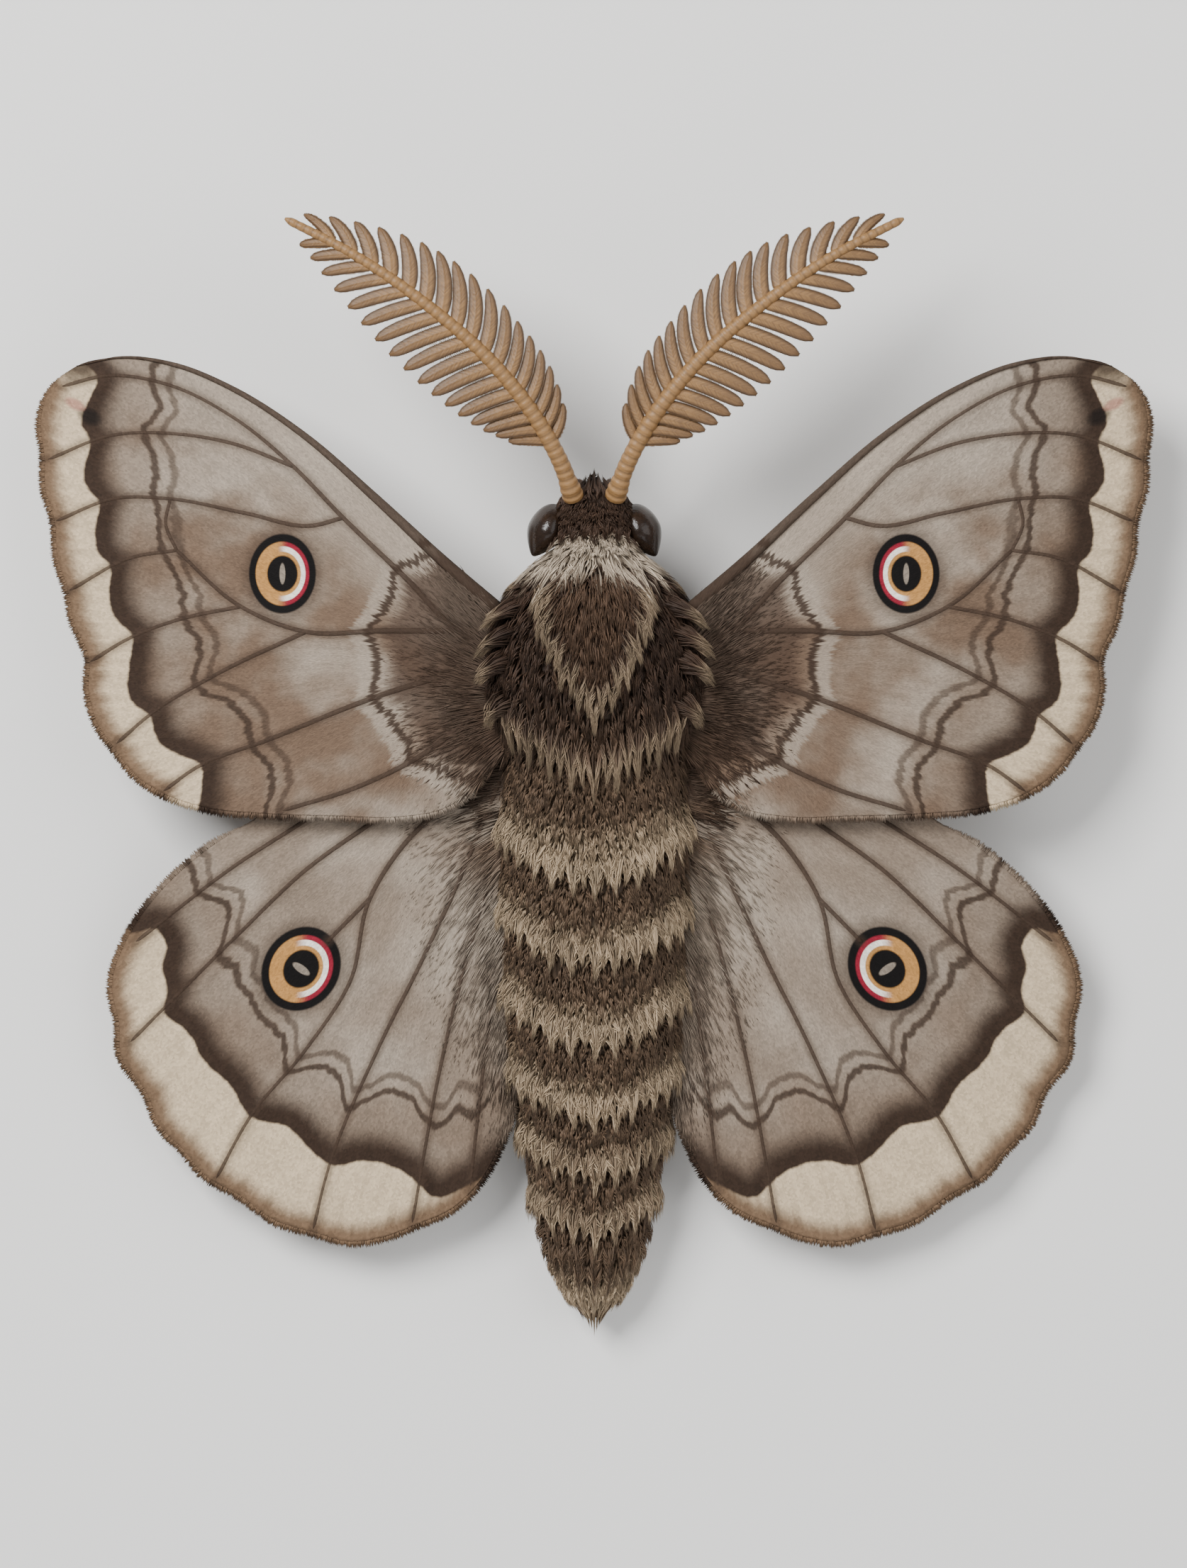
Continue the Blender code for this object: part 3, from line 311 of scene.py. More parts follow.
def through(knots, values, at):
    """Values at a place: cubic pieces that pass through the given values at the knots with smooth slopes."""
    knots = np.asarray(knots, float)
    values = np.asarray(values, float)
    slopes = np.gradient(values, knots, axis=0)
    at = np.clip(np.asarray(at, float), knots[0], knots[-1])
    i = np.clip(np.searchsorted(knots, at) - 1, 0, len(knots) - 2)
    span = knots[i + 1] - knots[i]
    t = (at - knots[i]) / span
    if values.ndim > 1:
        span, t = span[..., None], t[..., None]
    return (
        (1 + 2 * t) * (1 - t) ** 2 * values[i]
        + t * (1 - t) ** 2 * span * slopes[i]
        + t * t * (3 - 2 * t) * values[i + 1]
        + t * t * (t - 1) * span * slopes[i + 1]
    )


def chord_lengths(points):
    """Distance along the points' own polygon at each of them."""
    steps = np.linalg.norm(np.diff(np.asarray(points, float), axis=0), axis=1)
    return np.concatenate([[0.0], np.cumsum(steps)])


def line_through(points, spacing):
    """A smooth line through the points, with points evenly about spacing apart."""
    lengths = chord_lengths(points)
    count = max(2, round(lengths[-1] / spacing) + 1)
    return through(lengths, points, np.linspace(0.0, lengths[-1], count))


def unit(vectors):
    """Vectors over their own length."""
    return vectors / np.maximum(np.linalg.norm(vectors, axis=-1, keepdims=True), 1e-9)


def smooth(value, start, end):
    """0 before start, 1 after end and 3t² - 2t³ between them."""
    t = np.clip((value - start) / (end - start), 0.0, 1.0)
    return t * t * (3.0 - 2.0 * t)


def mirrored(points, side):
    """Points of the right side with x times the side, -1 for the left and 1 for the right."""
    return np.asarray(points, float) * (side, 1.0, 1.0)


def merged(*values):
    """Arrays of numbers side by side on a new last axis; a single number goes with all of the others."""
    return np.stack(np.broadcast_arrays(*values), axis=-1)


def body_section(y):
    """Half width, half height and height of the centre of the body's section at y."""
    stations = np.array(BODY_STATIONS)
    half_width, half_height, belly = np.moveaxis(through(stations[:, 0], stations[:, 1:], y), -1, 0)
    return half_width, half_height, belly + half_height


def body_point(y, angle, offset=0.0):
    """A point of the body: an ellipse's sine and cosine at the section at y, each half axis grown by offset."""
    half_width, half_height, centre = body_section(y)
    x = (half_width + offset) * np.sin(angle)
    z = centre + (half_height + offset) * np.cos(angle)
    return merged(x, np.asarray(y, float), z)


def ring_place(y, angle):
    """Number of the abdomen's ring at a place and the share of the way through it, 0 at its front edge."""
    eased = np.clip((RING_STARTS[0] - y) / RING_BOW_STRETCH, 0.0, 1.0)
    level = y - RING_BOW * eased * body_section(y)[0] * np.sin(angle) ** 2
    starts = np.array(RING_STARTS[::-1])
    place = np.interp(level, starts, np.arange(len(starts))[::-1])
    return np.floor(place), place - np.floor(place)


def ring_edge(start, angle):
    """Y at an angle from the top on the ring's edge: its start, bowed forward by the sine squared."""
    eased = np.clip((RING_STARTS[0] - start) / RING_BOW_STRETCH, 0.0, 1.0)
    return start + RING_BOW * eased * body_section(start)[0] * np.sin(angle) ** 2


def wing_arch(x):
    """Height of both wings over their roots: they lift a little and then sink to the tip."""
    out = (np.abs(x) - 11.0) / 59.0
    return 3.0 * out - 10.0 * out**2


def fore_height(x, y):
    """Height of the forewing's middle surface."""
    return FORE_ROOT_Z + wing_arch(x) + 0.02 * (np.asarray(y) - 12.0)


def hind_height(x, y):
    """Height of the hindwing's middle surface, which lies under the forewing and sinks backwards."""
    return HIND_ROOT_Z + wing_arch(x) - 0.13 * np.clip(-np.asarray(y, float), 0.0, None)


def distance_to(line, points):
    """Distance from each point to a line of short straight pieces, the least over its pieces."""
    best = np.full(len(points), np.inf)
    for start, end in zip(line[:-1], line[1:]):
        along = end - start
        t = np.clip(((points - start) @ along) / (along @ along), 0.0, 1.0)
        best = np.minimum(best, np.linalg.norm(points - start - t[:, None] * along, axis=1))
    return best


def inside(outline, points):
    """Which points lie inside the closed outline, by counting the edges crossed on the way out."""
    crossed = np.zeros(len(points), int)
    for start, end in zip(outline, np.roll(outline, -1, axis=0)):
        if start[1] != end[1]:
            spans = (start[1] > points[:, 1]) != (end[1] > points[:, 1])
            at = start[0] + (points[:, 1] - start[1]) * (end[0] - start[0]) / (end[1] - start[1])
            crossed += spans & (points[:, 0] < at)
    return crossed % 2 == 1


class Wing:
    """One pair of wings, described for the right side."""

    def __init__(self, name, margin, thick, root, hub, termen, veins, height, spot):
        self.name = name
        self.margin = line_through(margin, 0.25)
        self.costa = line_through(margin[: thick + 1], 1.0)
        self.termen = line_through(margin[termen[0] : termen[1] + 1], 1.0)
        self.root = root
        self.hub = np.array(hub)
        self.veins = [line_through(vein, 0.9) for vein in veins]
        self.height = height
        self.spot = spot

    def label(self, side):
        """Name of this wing on one side."""
        return f"{self.name}_{dict(SIDES)[side]}"

    def root_point(self, share):
        """A point of the wing's root on the body's flank, from its front to its back."""
        y = self.root[1] + (self.root[0] - self.root[1]) * share
        half_width, half_height, centre = body_section(y)
        lean = np.clip((self.height(FLANK_X, y) - centre) / half_height, -0.98, 0.98)
        return merged(half_width * np.sqrt(1 - lean**2) - 0.8, y)

    def fan(self, around, out):
        """A point of the wing in plan: a share out of the way from the root to the margin, both at around."""
        lengths = chord_lengths(self.margin)
        rim = through(lengths, self.margin, np.asarray(around) * lengths[-1])
        base = self.root_point(np.asarray(around))
        return base + (rim - base) * np.asarray(out)[..., None]

    def marks(self, plan):
        """What the markings need of each plan point, as two triples of distances.

        First: how far past the border's wavy line, to the outer edge and to the nearest vein.
        Second: from the wing's hub, around the hub at TURN_RADIUS from it, and to the front edge.
        """
        outer = distance_to(self.termen, plan)
        vein = np.min([distance_to(line, plan) for line in self.veins], axis=0)
        if self.name == "hindwing":
            wave = line_through(HIND_WAVE, 0.8)
            within = inside(np.concatenate([wave, HIND_WAVE_CORNERS]), plan)
            past = distance_to(wave, plan) * np.where(within, -1.0, 1.0)
        else:
            past = FORE_BORDER - outer + 1.1 * (np.exp(-((vein / 1.8) ** 2)) - 0.4)
        offset = plan - self.hub
        turn = TURN_RADIUS * np.arctan2(offset[:, 1], offset[:, 0])
        first = merged(past, outer, vein)
        second = merged(np.linalg.norm(offset, axis=1), turn, distance_to(self.costa, plan))
        return first, second

    def level(self, plan, vein):
        """Height of the membrane's middle: the wing's arch, low waves, and a sag between the veins."""
        x, y = plan[..., 0], plan[..., 1]
        from_hub = np.linalg.norm(plan - self.hub, axis=-1)
        sag = WING_SAG * (1 - np.exp(-((vein / WING_SAG_WIDTH) ** 2))) * smooth(from_hub, 5.0, 18.0)
        waves = 0.2 * np.sin(0.21 * x + 0.33 * y) * np.sin(0.17 * x - 0.29 * y) * smooth(from_hub, 8.0, 30.0)
        return self.height(x, y) - sag + waves


FOREWING = Wing("forewing", FORE_MARGIN, FORE_EDGE, FORE_ROOT, FORE_HUB, FORE_TERMEN, FORE_VEINS,
                fore_height, FORE_SPOT)
HINDWING = Wing("hindwing", HIND_MARGIN, HIND_EDGE, HIND_ROOT, HIND_HUB, HIND_TERMEN, HIND_VEINS,
                hind_height, HIND_SPOT)


def clear_of_wings(centres, above):
    """Moves hairs off the wings: those rooted above a wing stay over it and the others stay under it."""
    x, y, z = np.abs(centres[..., 0]), centres[..., 1], centres[..., 2]
    for wing in (HINDWING, FOREWING):
        reach = np.clip((wing.root[1] - y) / (wing.root[1] - wing.root[0]), 0.0, 1.0)
        edge = wing.root_point(reach)[..., 0] + 0.6
        beside = (y > wing.root[0] - 1.0) & (y < wing.root[1] + 1.0) & (x > edge)
        level = wing.height(x, y)
        z = np.where(beside & above, np.maximum(z, level + 0.35 + 0.25 * (x - edge)), z)
        z = np.where(beside & ~above, np.minimum(z, level - 0.35), z)
    centres[..., 2] = z
    return centres


# Meshes


def triangles_of(faces):
    """Triangles of several arrays of faces: a quad is cut from its first to its third corner."""
    cut = [f if f.shape[1] == 3 else np.concatenate([f[:, :3], f[:, [0, 2, 3]]]) for f in faces]
    return np.concatenate(cut)


def outward(points, faces):
    """The faces of closed shapes, turned round if the volume that they hold comes out negative."""
    a, b, c = (points[k] for k in triangles_of(faces).T)
    volume = np.einsum("ij,ij->i", a, np.cross(b, c)).sum()
    return faces if volume > 0 else [f[:, ::-1] for f in faces]


def make_piece(name, points, faces, finish):
    """A piece in metres that rides on the body, from points in millimetres and closed shapes' faces."""
    mesh = bpy.data.meshes.new(name)
    faces = outward(points, faces)
    loops = np.concatenate([f.ravel() for f in faces]).astype(np.int32)
    sizes = np.concatenate([np.full(len(f), f.shape[1]) for f in faces])
    starts = np.concatenate([[0], np.cumsum(sizes)[:-1]]).astype(np.int32)
    mesh.vertices.add(len(points))
    mesh.vertices.foreach_set("co", (points * MM).astype(np.float32).ravel())
    mesh.loops.add(len(loops))
    mesh.loops.foreach_set("vertex_index", loops)
    mesh.polygons.add(len(starts))
    mesh.polygons.foreach_set("loop_start", starts)
    mesh.update(calc_edges=True)
    mesh.shade_smooth()
    mesh.materials.append(finish)
    made = bpy.data.objects.new(name, mesh)
    bpy.context.scene.collection.objects.link(made)
    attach(made, "root")
    return made


def give(piece, name, values):
    """Stores three numbers for each vertex, which the piece's material reads by name."""
    stored = piece.data.attributes.new(name, "FLOAT_VECTOR", "POINT")
    stored.data.foreach_set("vector", np.asarray(values, np.float32).ravel())


def give_all(piece, name, values):
    """Stores the same three numbers for all vertices."""
    give(piece, name, np.tile(values, (len(piece.data.vertices), 1)))


def give_marks(piece, first, second):
    """Stores what a wing's markings need, as made by Wing.marks."""
    give(piece, "edge", first)
    give(piece, "reach", second)


def give_patches(piece, places):
    """The map OFBake of a coat piece, from a place for each vertex."""
    layer = piece.data.uv_layers.new(name="OFBake")
    corners = np.zeros(len(piece.data.loops), np.int32)
    piece.data.loops.foreach_get("vertex_index", corners)
    layer.data.foreach_set("uv", places[corners].astype(np.float32).ravel())


def grid_faces(rows, columns, wrap):
    """Quads of a grid; wrap joins its last column to the first."""
    row, column = np.meshgrid(np.arange(rows - 1), np.arange(columns - (not wrap)), indexing="ij")
    a, b = row * columns + column, row * columns + (column + 1) % columns
    return merged(a, b, b + columns, a + columns).reshape(-1, 4)


def closed_tube(rings, start, end, first=0):
    """Points and faces of rings of points closed by a fan to a point at each end, numbered from first."""
    rows, columns = rings.shape[:2]
    ring = np.arange(columns)
    after = np.roll(ring, -1)
    poles = rows * columns + np.array([0, 1])
    last = (rows - 1) * columns
    fans = np.concatenate([
        merged(after, ring, np.full(columns, poles[0])),
        merged(last + ring, last + after, np.full(columns, poles[1])),
    ])
    points = np.concatenate([rings.reshape(-1, 3), [start, end]])
    return points, [grid_faces(rows, columns, True) + first, fans + first]


def joined(shapes):
    """Several (rings, start, end) shapes as one set of points and faces."""
    points, faces, first = [], [], 0
    for rings, start, end in shapes:
        more_points, more_faces = closed_tube(rings, start, end, first)
        points.append(more_points)
        faces.extend(more_faces)
        first += len(more_points)
    return np.concatenate(points), faces


def frames_along(line, up=(0.0, 0.0, 1.0)):
    """Directions across and over a line: both square to its heading, over as near to up as can be."""
    heading = unit(np.gradient(line, axis=0))
    across = unit(np.cross(heading, up))
    return across, unit(np.cross(across, heading))


def swept(line, half_width, half_height, sides, up=(0.0, 0.0, 1.0)):
    """An ellipse carried along a line, with its half axes across and over it given at each point."""
    across, over = frames_along(line, up)
    angle = np.linspace(0.0, 2 * pi, sides, endpoint=False)[None, :, None]
    wide = np.broadcast_to(half_width, len(line))[:, None, None] * across[:, None]
    high = np.broadcast_to(half_height, len(line))[:, None, None] * over[:, None]
    rings = line[:, None] + wide * np.cos(angle) + high * np.sin(angle)
    return rings, line[0], line[-1]


# Hair


def spread(low, high, count, girth):
    """Even places over a round body: y by its share of the girth passed, the angle by golden turns."""
    y = np.linspace(low, high, 400)
    passed = np.cumsum(girth(y))
    shares = (np.arange(count) + 0.5) / count
    angle = (np.arange(count) * GOLDEN_TURN) % (2 * pi) - pi
    return np.interp(shares * passed[-1], passed, y), angle


def hairs_of_locks(rng, start, end, width, metric, count, pinch=0.16):
    """Starts and ends of the hairs of each lock: roots fill its width over its first half, tips draw together.

    Metric turns the surface's two parameters into millimetres.
    """
    shape = (len(start), count)
    across = rng.uniform(-1, 1, shape)
    root = rng.uniform(0.0, 0.5, shape)
    tip = 1.0 - 0.34 * np.abs(across) ** 1.5 - rng.uniform(0.0, 0.14, shape)
    heading = (end - start) * metric
    square = unit(merged(-heading[:, 1], heading[:, 0]))
    aside = square[:, None] * (across * np.asarray(width)[:, None])[..., None] / metric[:, None]
    along = (end - start)[:, None]
    loose = rng.normal(0.0, 0.12, (*shape, 2)) / metric[:, None]
    roots = start[:, None] + along * root[..., None] + aside * 0.5
    tips = start[:, None] + along * tip[..., None] + aside * pinch + loose
    return roots.reshape(-1, 2), tips.reshape(-1, 2)


def grow(surface, roots, tips, bows, lifts, stations):
    """Centres and outward directions along hairs that run over the surface's two parameters, bowed sideways.

    A hair starts under the surface and climbs to its lift as the square root of the way along it.
    """
    places = roots[:, None] + (tips - roots)[:, None] * stations[None, :, None]
    places[..., 1] += bows[:, None] * 4.0 * stations * (1.0 - stations)
    offsets = lifts[:, None] * np.sqrt(stations) - UNDER_SKIN * (1 - stations) ** 3
    centres = surface(places[..., 0], places[..., 1], offsets)
    return centres, unit(surface(places[..., 0], places[..., 1], offsets + 1.0) - centres)


def hair_piece(name, centres, ups, widths, place, tones, layer, patches, finish):
    """One coat piece: each hair is a thin three-sided blade through its centres, closed at both ends."""
    count, stations = centres.shape[:2]
    rings = stations - 1
    centres = merged(centres[..., 0], centres[..., 1], np.maximum(centres[..., 2], FLOOR_GAP))
    heading = np.gradient(centres, axis=1)
    across = unit(np.cross(heading, ups))
    over = unit(np.cross(across, heading))
    half = 0.5 * widths[:, None, None] * np.array(HAIR_WIDTHS[:rings])[None, :, None]
    middle, wide, high = centres[:, :-1], across[:, :-1] * half, over[:, :-1] * half * 2 * HAIR_THICKNESS
    blade = np.stack([middle - wide - high / 2, middle + wide - high / 2, middle + high], axis=2)
    points = np.concatenate([blade.reshape(count, -1, 3), centres[:, -1:]], axis=1)
    size = rings * 3 + 1
    corner, after = np.arange(3), np.roll(np.arange(3), -1)
    starts = 3 * np.arange(rings - 1)
    pattern = [merged(corner + k, corner + k + 3, after + k + 3) for k in starts]
    pattern += [merged(corner + k, after + k + 3, after + k) for k in starts]
    last = 3 * (rings - 1)
    pattern += [merged(corner + last, np.full(3, size - 1), after + last), np.array([[0, 1, 2]])]
    pattern = np.concatenate(pattern)
    faces = (np.arange(count)[:, None, None] * size + pattern).reshape(-1, 3)
    piece = make_piece(name, points.reshape(-1, 3), [faces], finish)
    along = np.append(np.repeat(np.linspace(0.0, 1.0, stations)[:-1], 3), 1.0)
    sideways = np.append(np.tile([0.0, 1.0, 0.5], rings), 0.5)
    give(piece, "place", np.repeat(place, size, axis=0))
    coat = merged(np.tile(along, count), np.repeat(tones, size), np.repeat(layer, size))
    give(piece, "coat", coat)
    patch = merged(sideways - 0.5, along - 0.5) * HAIR_PATCH
    give_patches(piece, (patches[:, None] + patch).reshape(-1, 2))
    return piece


def unwrapped(first, second):
    """Places on an unwrap from two parameters, both scaled to lie just within the map."""
    scaled = [(v - v.min()) / max(float(np.ptp(v)), 1e-6) * 0.98 + 0.01 for v in (first, second)]
    return np.stack(scaled, axis=-1)


def body_marks(y, angle):
    """What the fur's markings need of a place on the body: y, turn from the top and share of its ring."""
    ring = np.where(y < WAIST_Y, ring_place(y, angle)[1], 0.0)
    return merged(y, np.abs(angle) / pi, ring)


class Fur:
    """Locks that are gathered for one coat piece of the body and then grown together."""

    def __init__(self, name, seed, stations=LONG_HAIR):
        self.name = name
        self.rng = np.random.default_rng(seed)
        self.stations = stations
        self.parts = []

    def add(self, start, end, width, lift, count, hair_width, layer, pinch=0.16):
        """Locks from (y, angle) places to others, each with its width, lift and number of hairs."""
        start, end = np.asarray(start, float), np.asarray(end, float)
        width, lift = (np.broadcast_to(np.asarray(v, float), len(start)) for v in (width, lift))
        metric = merged(np.ones(len(start)), body_section(start[:, 0])[0])
        roots, tips = hairs_of_locks(self.rng, start, end, width, metric, count, pinch)
        lifts = np.repeat(lift, count) * self.rng.uniform(0.7, 1.1, len(roots))
        lock_bow = np.repeat(self.rng.normal(0.0, 0.2, len(start)), count)
        bows = (lock_bow + self.rng.normal(0.0, 0.07, len(roots))) / body_section(roots[:, 0])[0]
        centres, ups = grow(body_point, roots, tips, bows, lifts, self.stations)
        level = np.where(roots[:, 0] > FORE_ROOT[0], FORE_ROOT_Z, hind_height(FLANK_X, roots[:, 0]))
        centres = clear_of_wings(centres, (body_point(*roots.T)[:, 2] > level)[:, None])
        lock_tone = np.repeat(self.rng.uniform(0.0, 1.0, len(start)), count)
        tones = 0.6 * lock_tone + 0.4 * self.rng.uniform(0.0, 1.0, len(roots))
        widths = hair_width * self.rng.uniform(0.75, 1.2, len(roots))
        self.parts.append((centres, ups, widths, roots, tones, np.full(len(roots), layer)))

    def grown(self, finish, slot):
        """The coat piece of all locks gathered so far."""
        centres, ups, widths, roots, tones, layers = (np.concatenate(column) for column in zip(*self.parts))
        patches = unwrapped(roots[:, 1], roots[:, 0])
        marks = body_marks(roots[:, 0], roots[:, 1])
        return hair_piece(self.name, centres, ups, widths, marks, tones, layers, patches, finish)


# Materials


class Value:
    """A socket in a material. Arithmetic on it adds Math nodes."""

    def __init__(self, paint, socket):
        self.paint = paint
        self.socket = socket

    def __add__(self, other):
        return self.paint.maths("ADD", self, other)

    def __sub__(self, other):
        return self.paint.maths("SUBTRACT", self, other)

    def __rsub__(self, other):
        return self.paint.maths("SUBTRACT", other, self)

    def __mul__(self, other):
        return self.paint.maths("MULTIPLY", self, other)

    def __truediv__(self, other):
        return self.paint.maths("DIVIDE", self, other)

    def __pow__(self, other):
        return self.paint.maths("POWER", self, other)

    def __abs__(self):
        return self.paint.maths("ABSOLUTE", self, 0.0)

    __radd__ = __add__
    __rmul__ = __mul__


class Paint:
    """A material being mixed: one method adds any node, and the others name common uses of it."""

    def __init__(self, name, shader_values):
        self.material = bpy.data.materials.new(name)
        self.material.use_nodes = True
        self.tree = self.material.node_tree
        self.shader = self.tree.nodes["Principled BSDF"]
        for socket, value in shader_values.items():
            self.shader.inputs[socket].default_value = value

    def node(self, kind, settings, sockets, out=0):
        """Adds a node of a type with its settings, feeds its sockets and gives its output socket."""
        made = self.tree.nodes.new(kind)
        for key, value in settings.items():
            setattr(made, key, value)
        for key, value in sockets.items():
            self.feed(made.inputs[key], value)
        return Value(self, made.outputs[out])

    def feed(self, socket, value):
        """Links a wrapped socket to another, or sets a number, colour or vector on it."""
        if isinstance(value, Value):
            self.tree.links.new(value.socket, socket)
        else:
            socket.default_value = (*value, 1.0) if socket.type == "RGBA" else value

    def maths(self, operation, first, second):
        """A Math node over two values."""
        return self.node("ShaderNodeMath", {"operation": operation}, {0: first, 1: second})

    def step(self, value, start, end):
        """0 before start, 1 after end and smooth between them."""
        settings = {"interpolation_type": "SMOOTHSTEP", "clamp": True}
        return self.node("ShaderNodeMapRange", settings, {"Value": value, "From Min": start, "From Max": end})

    def band(self, value, middle, half, soft):
        """1 within half of the middle, fading to 0 over the soft width."""
        return 1.0 - self.step(abs(value - middle), half, half + soft)

    def mix(self, share, first, second):
        """The first colour at share 0, the second at 1 and blends between them."""
        settings = {"data_type": "RGBA", "clamp_factor": True}
        return self.node("ShaderNodeMix", settings, {0: share, 6: first, 7: second}, out=2)

    def scaled(self, colour, share):
        """A colour or a vector times a number."""
        return self.node("ShaderNodeVectorMath", {"operation": "SCALE"}, {0: colour, "Scale": share})

    def vector(self, x, y, z=0.0):
        """A vector of three values."""
        return self.node("ShaderNodeCombineXYZ", {}, {0: x, 1: y, 2: z})

    def parts(self, vector):
        """The three values of a vector."""
        split = self.node("ShaderNodeSeparateXYZ", {}, {0: vector}).socket.node
        return [Value(self, socket) for socket in split.outputs]

    def attribute(self, name):
        """The three numbers that a piece stores for each vertex under a name."""
        return self.parts(self.node("ShaderNodeAttribute", {"attribute_name": name}, {}, out=1))

    def place(self):
        """Object coordinates in millimetres."""
        return self.scaled(self.node("ShaderNodeTexCoord", {}, {}, out=3), 1.0 / MM)

    def noise(self, vector, scale, detail=2.0):
        """Smooth noise between 0 and 1."""
        return self.node("ShaderNodeTexNoise", {}, {"Vector": vector, "Scale": scale, "Detail": detail})

    def cells(self, vector, scale):
        """Distance to the centre of the nearest cell, and a random number for each cell."""
        sockets = {"Vector": vector, "Scale": scale}
        distance = self.node("ShaderNodeTexVoronoi", {}, sockets)
        return distance, self.parts(Value(self, distance.socket.node.outputs["Color"]))[0]

    def finish(self, colour, height=None, depth=0.0):
        """Joins the colour, and a height that bumps the surface by depth millimetres, to the shader."""
        self.feed(self.shader.inputs["Base Color"], colour)
        if height is not None:
            bump = self.node("ShaderNodeBump", {}, {"Height": height, "Distance": depth * MM, "Strength": 1.0})
            self.feed(self.shader.inputs["Normal"], bump)
        return self.material


def fur_paint(colours):
    """Fur of the head, thorax and abdomen, marked by the place of each hair's root, with painted shade at the
    roots.
    """
    paint = Paint("moth fur", {"Roughness": 0.6, "Specular IOR Level": 0.25})
    y, turn, ring = paint.attribute("place")
    along, tone, layer = paint.attribute("coat")
    place = paint.place()
    patchy = paint.noise(place, 0.22, 3.0)
    edge = paint.step(layer, EDGE - 0.5, EDGE)
    shield = paint.band(layer, SHIELD, 0.3, 0.1)
    ring_pale = paint.step(ring + (patchy - 0.5) * 0.3, 0.42, 0.86)
    abdomen = paint.mix(ring_pale, colours.abdomen_fur, colours.fringe_fur)
    abdomen = paint.mix(paint.step(turn, 0.55, 0.8) * 0.55, abdomen, colours.thorax_fur)
    thorax = paint.mix(shield * 0.75, colours.thorax_fur, colours.shield_fur)
    rear = 1.0 - paint.step(y + (patchy - 0.5) * 4.0, 3.0, 13.0)
    thorax = paint.mix(rear * 0.55, thorax, colours.abdomen_fur)
    thorax = paint.mix(edge * paint.step(along, 0.42, 1.0) * 0.85, thorax, colours.fringe_fur)
    collar = paint.band(y + (patchy - 0.5) * 1.4, 28.6, 1.5, 1.2) * (1.0 - paint.step(turn, 0.55, 0.75))
    thorax = paint.mix(collar * 0.9, thorax, colours.collar_fur)
    colour = paint.mix(paint.step(y, 1.6, 3.2), abdomen, thorax)
    strands = paint.noise(paint.vector(turn * 110.0, y * 0.5, layer), 1.0, 2.0)
    # Painted shade: the along term darkens each hair towards its root, and the skin, whose along is 0.1, as if
    # they lay in the shade of the coat.
    shade = (0.66 + tone * 0.5) * (0.62 + along * 0.62) * (0.8 + patchy * 0.4)
    shade = shade * (0.78 + paint.step(strands, 0.35, 0.65) * 0.42)
    return paint.finish(paint.scaled(colour, shade), strands, 0.12)


def fur_finish(context):
    """The fur's material, which the skin and every coat piece of the body share."""
    return bpy.data.materials.get("moth fur") or fur_paint(context.scene.moth_colours)


def leg_paint(colours):
    """Short brown fur of the legs and palps, darker towards the feet, with painted shade at each hair's root
    and on the bare skin.
    """
    paint = Paint("leg fur", {"Roughness": 0.6, "Specular IOR Level": 0.25})
    along_leg, _, _ = paint.attribute("place")
    along, tone, _ = paint.attribute("coat")
    patchy = paint.noise(paint.place(), 0.5, 2.0)
    colour = paint.mix(paint.step(along_leg, 0.35, 0.8), colours.leg_fur, colours.thorax_fur)
    # Painted shade: the along term darkens each hair towards its root, and the bare skin of the legs and palps,
    # whose along is 0.
    shade = (0.7 + tone * 0.5) * (0.7 + along * 0.6) * (0.75 + patchy * 0.5)
    return paint.finish(paint.scaled(colour, shade), paint.noise(paint.place(), 4.0, 2.0), 0.06)


def eyespot(paint, colours, colour, x, y, spot):
    """An eyespot over a colour: black rim, wine and white arcs towards the body, ochre ring, black eye."""
    (centre_x, centre_y), (half_x, half_y), turn = spot
    dx, dy = x - centre_x, y - centre_y
    lean_cos, lean_sin = cos(radians(turn)), sin(radians(turn))
    u = (dx * lean_cos - dy * lean_sin) / half_x
    v = (dx * lean_sin + dy * lean_cos) / half_y
    reach = (u * u + v * v) ** 0.5
    inner = paint.step(dx / (reach + 0.01) / half_x, 0.25, -0.25)
    colour = paint.mix((1.0 - paint.step(reach, 1.0, 1.45)) * 0.5, colour, colours.wing_dark)
    colour = paint.mix(1.0 - paint.step(reach, 1.0, 1.06), colour, colours.black)
    ring = paint.mix(inner, colours.ochre, colours.wine)
    colour = paint.mix(1.0 - paint.step(reach, 0.8, 0.85), colour, ring)
    white = paint.band(reach, 0.64, 0.055, 0.03) * inner
    colour = paint.mix(paint.step(reach, 0.6, 0.56), colour, colours.ochre)
    colour = paint.mix(white, colour, colours.white)
    colour = paint.mix(1.0 - paint.step(reach, 0.44, 0.5), colour, colours.black)
    slit = u * u / 0.008 + v * v / 0.07
    return paint.mix(paint.step(slit, 1.3, 0.7) * 0.7, colour, colours.wing_grey)


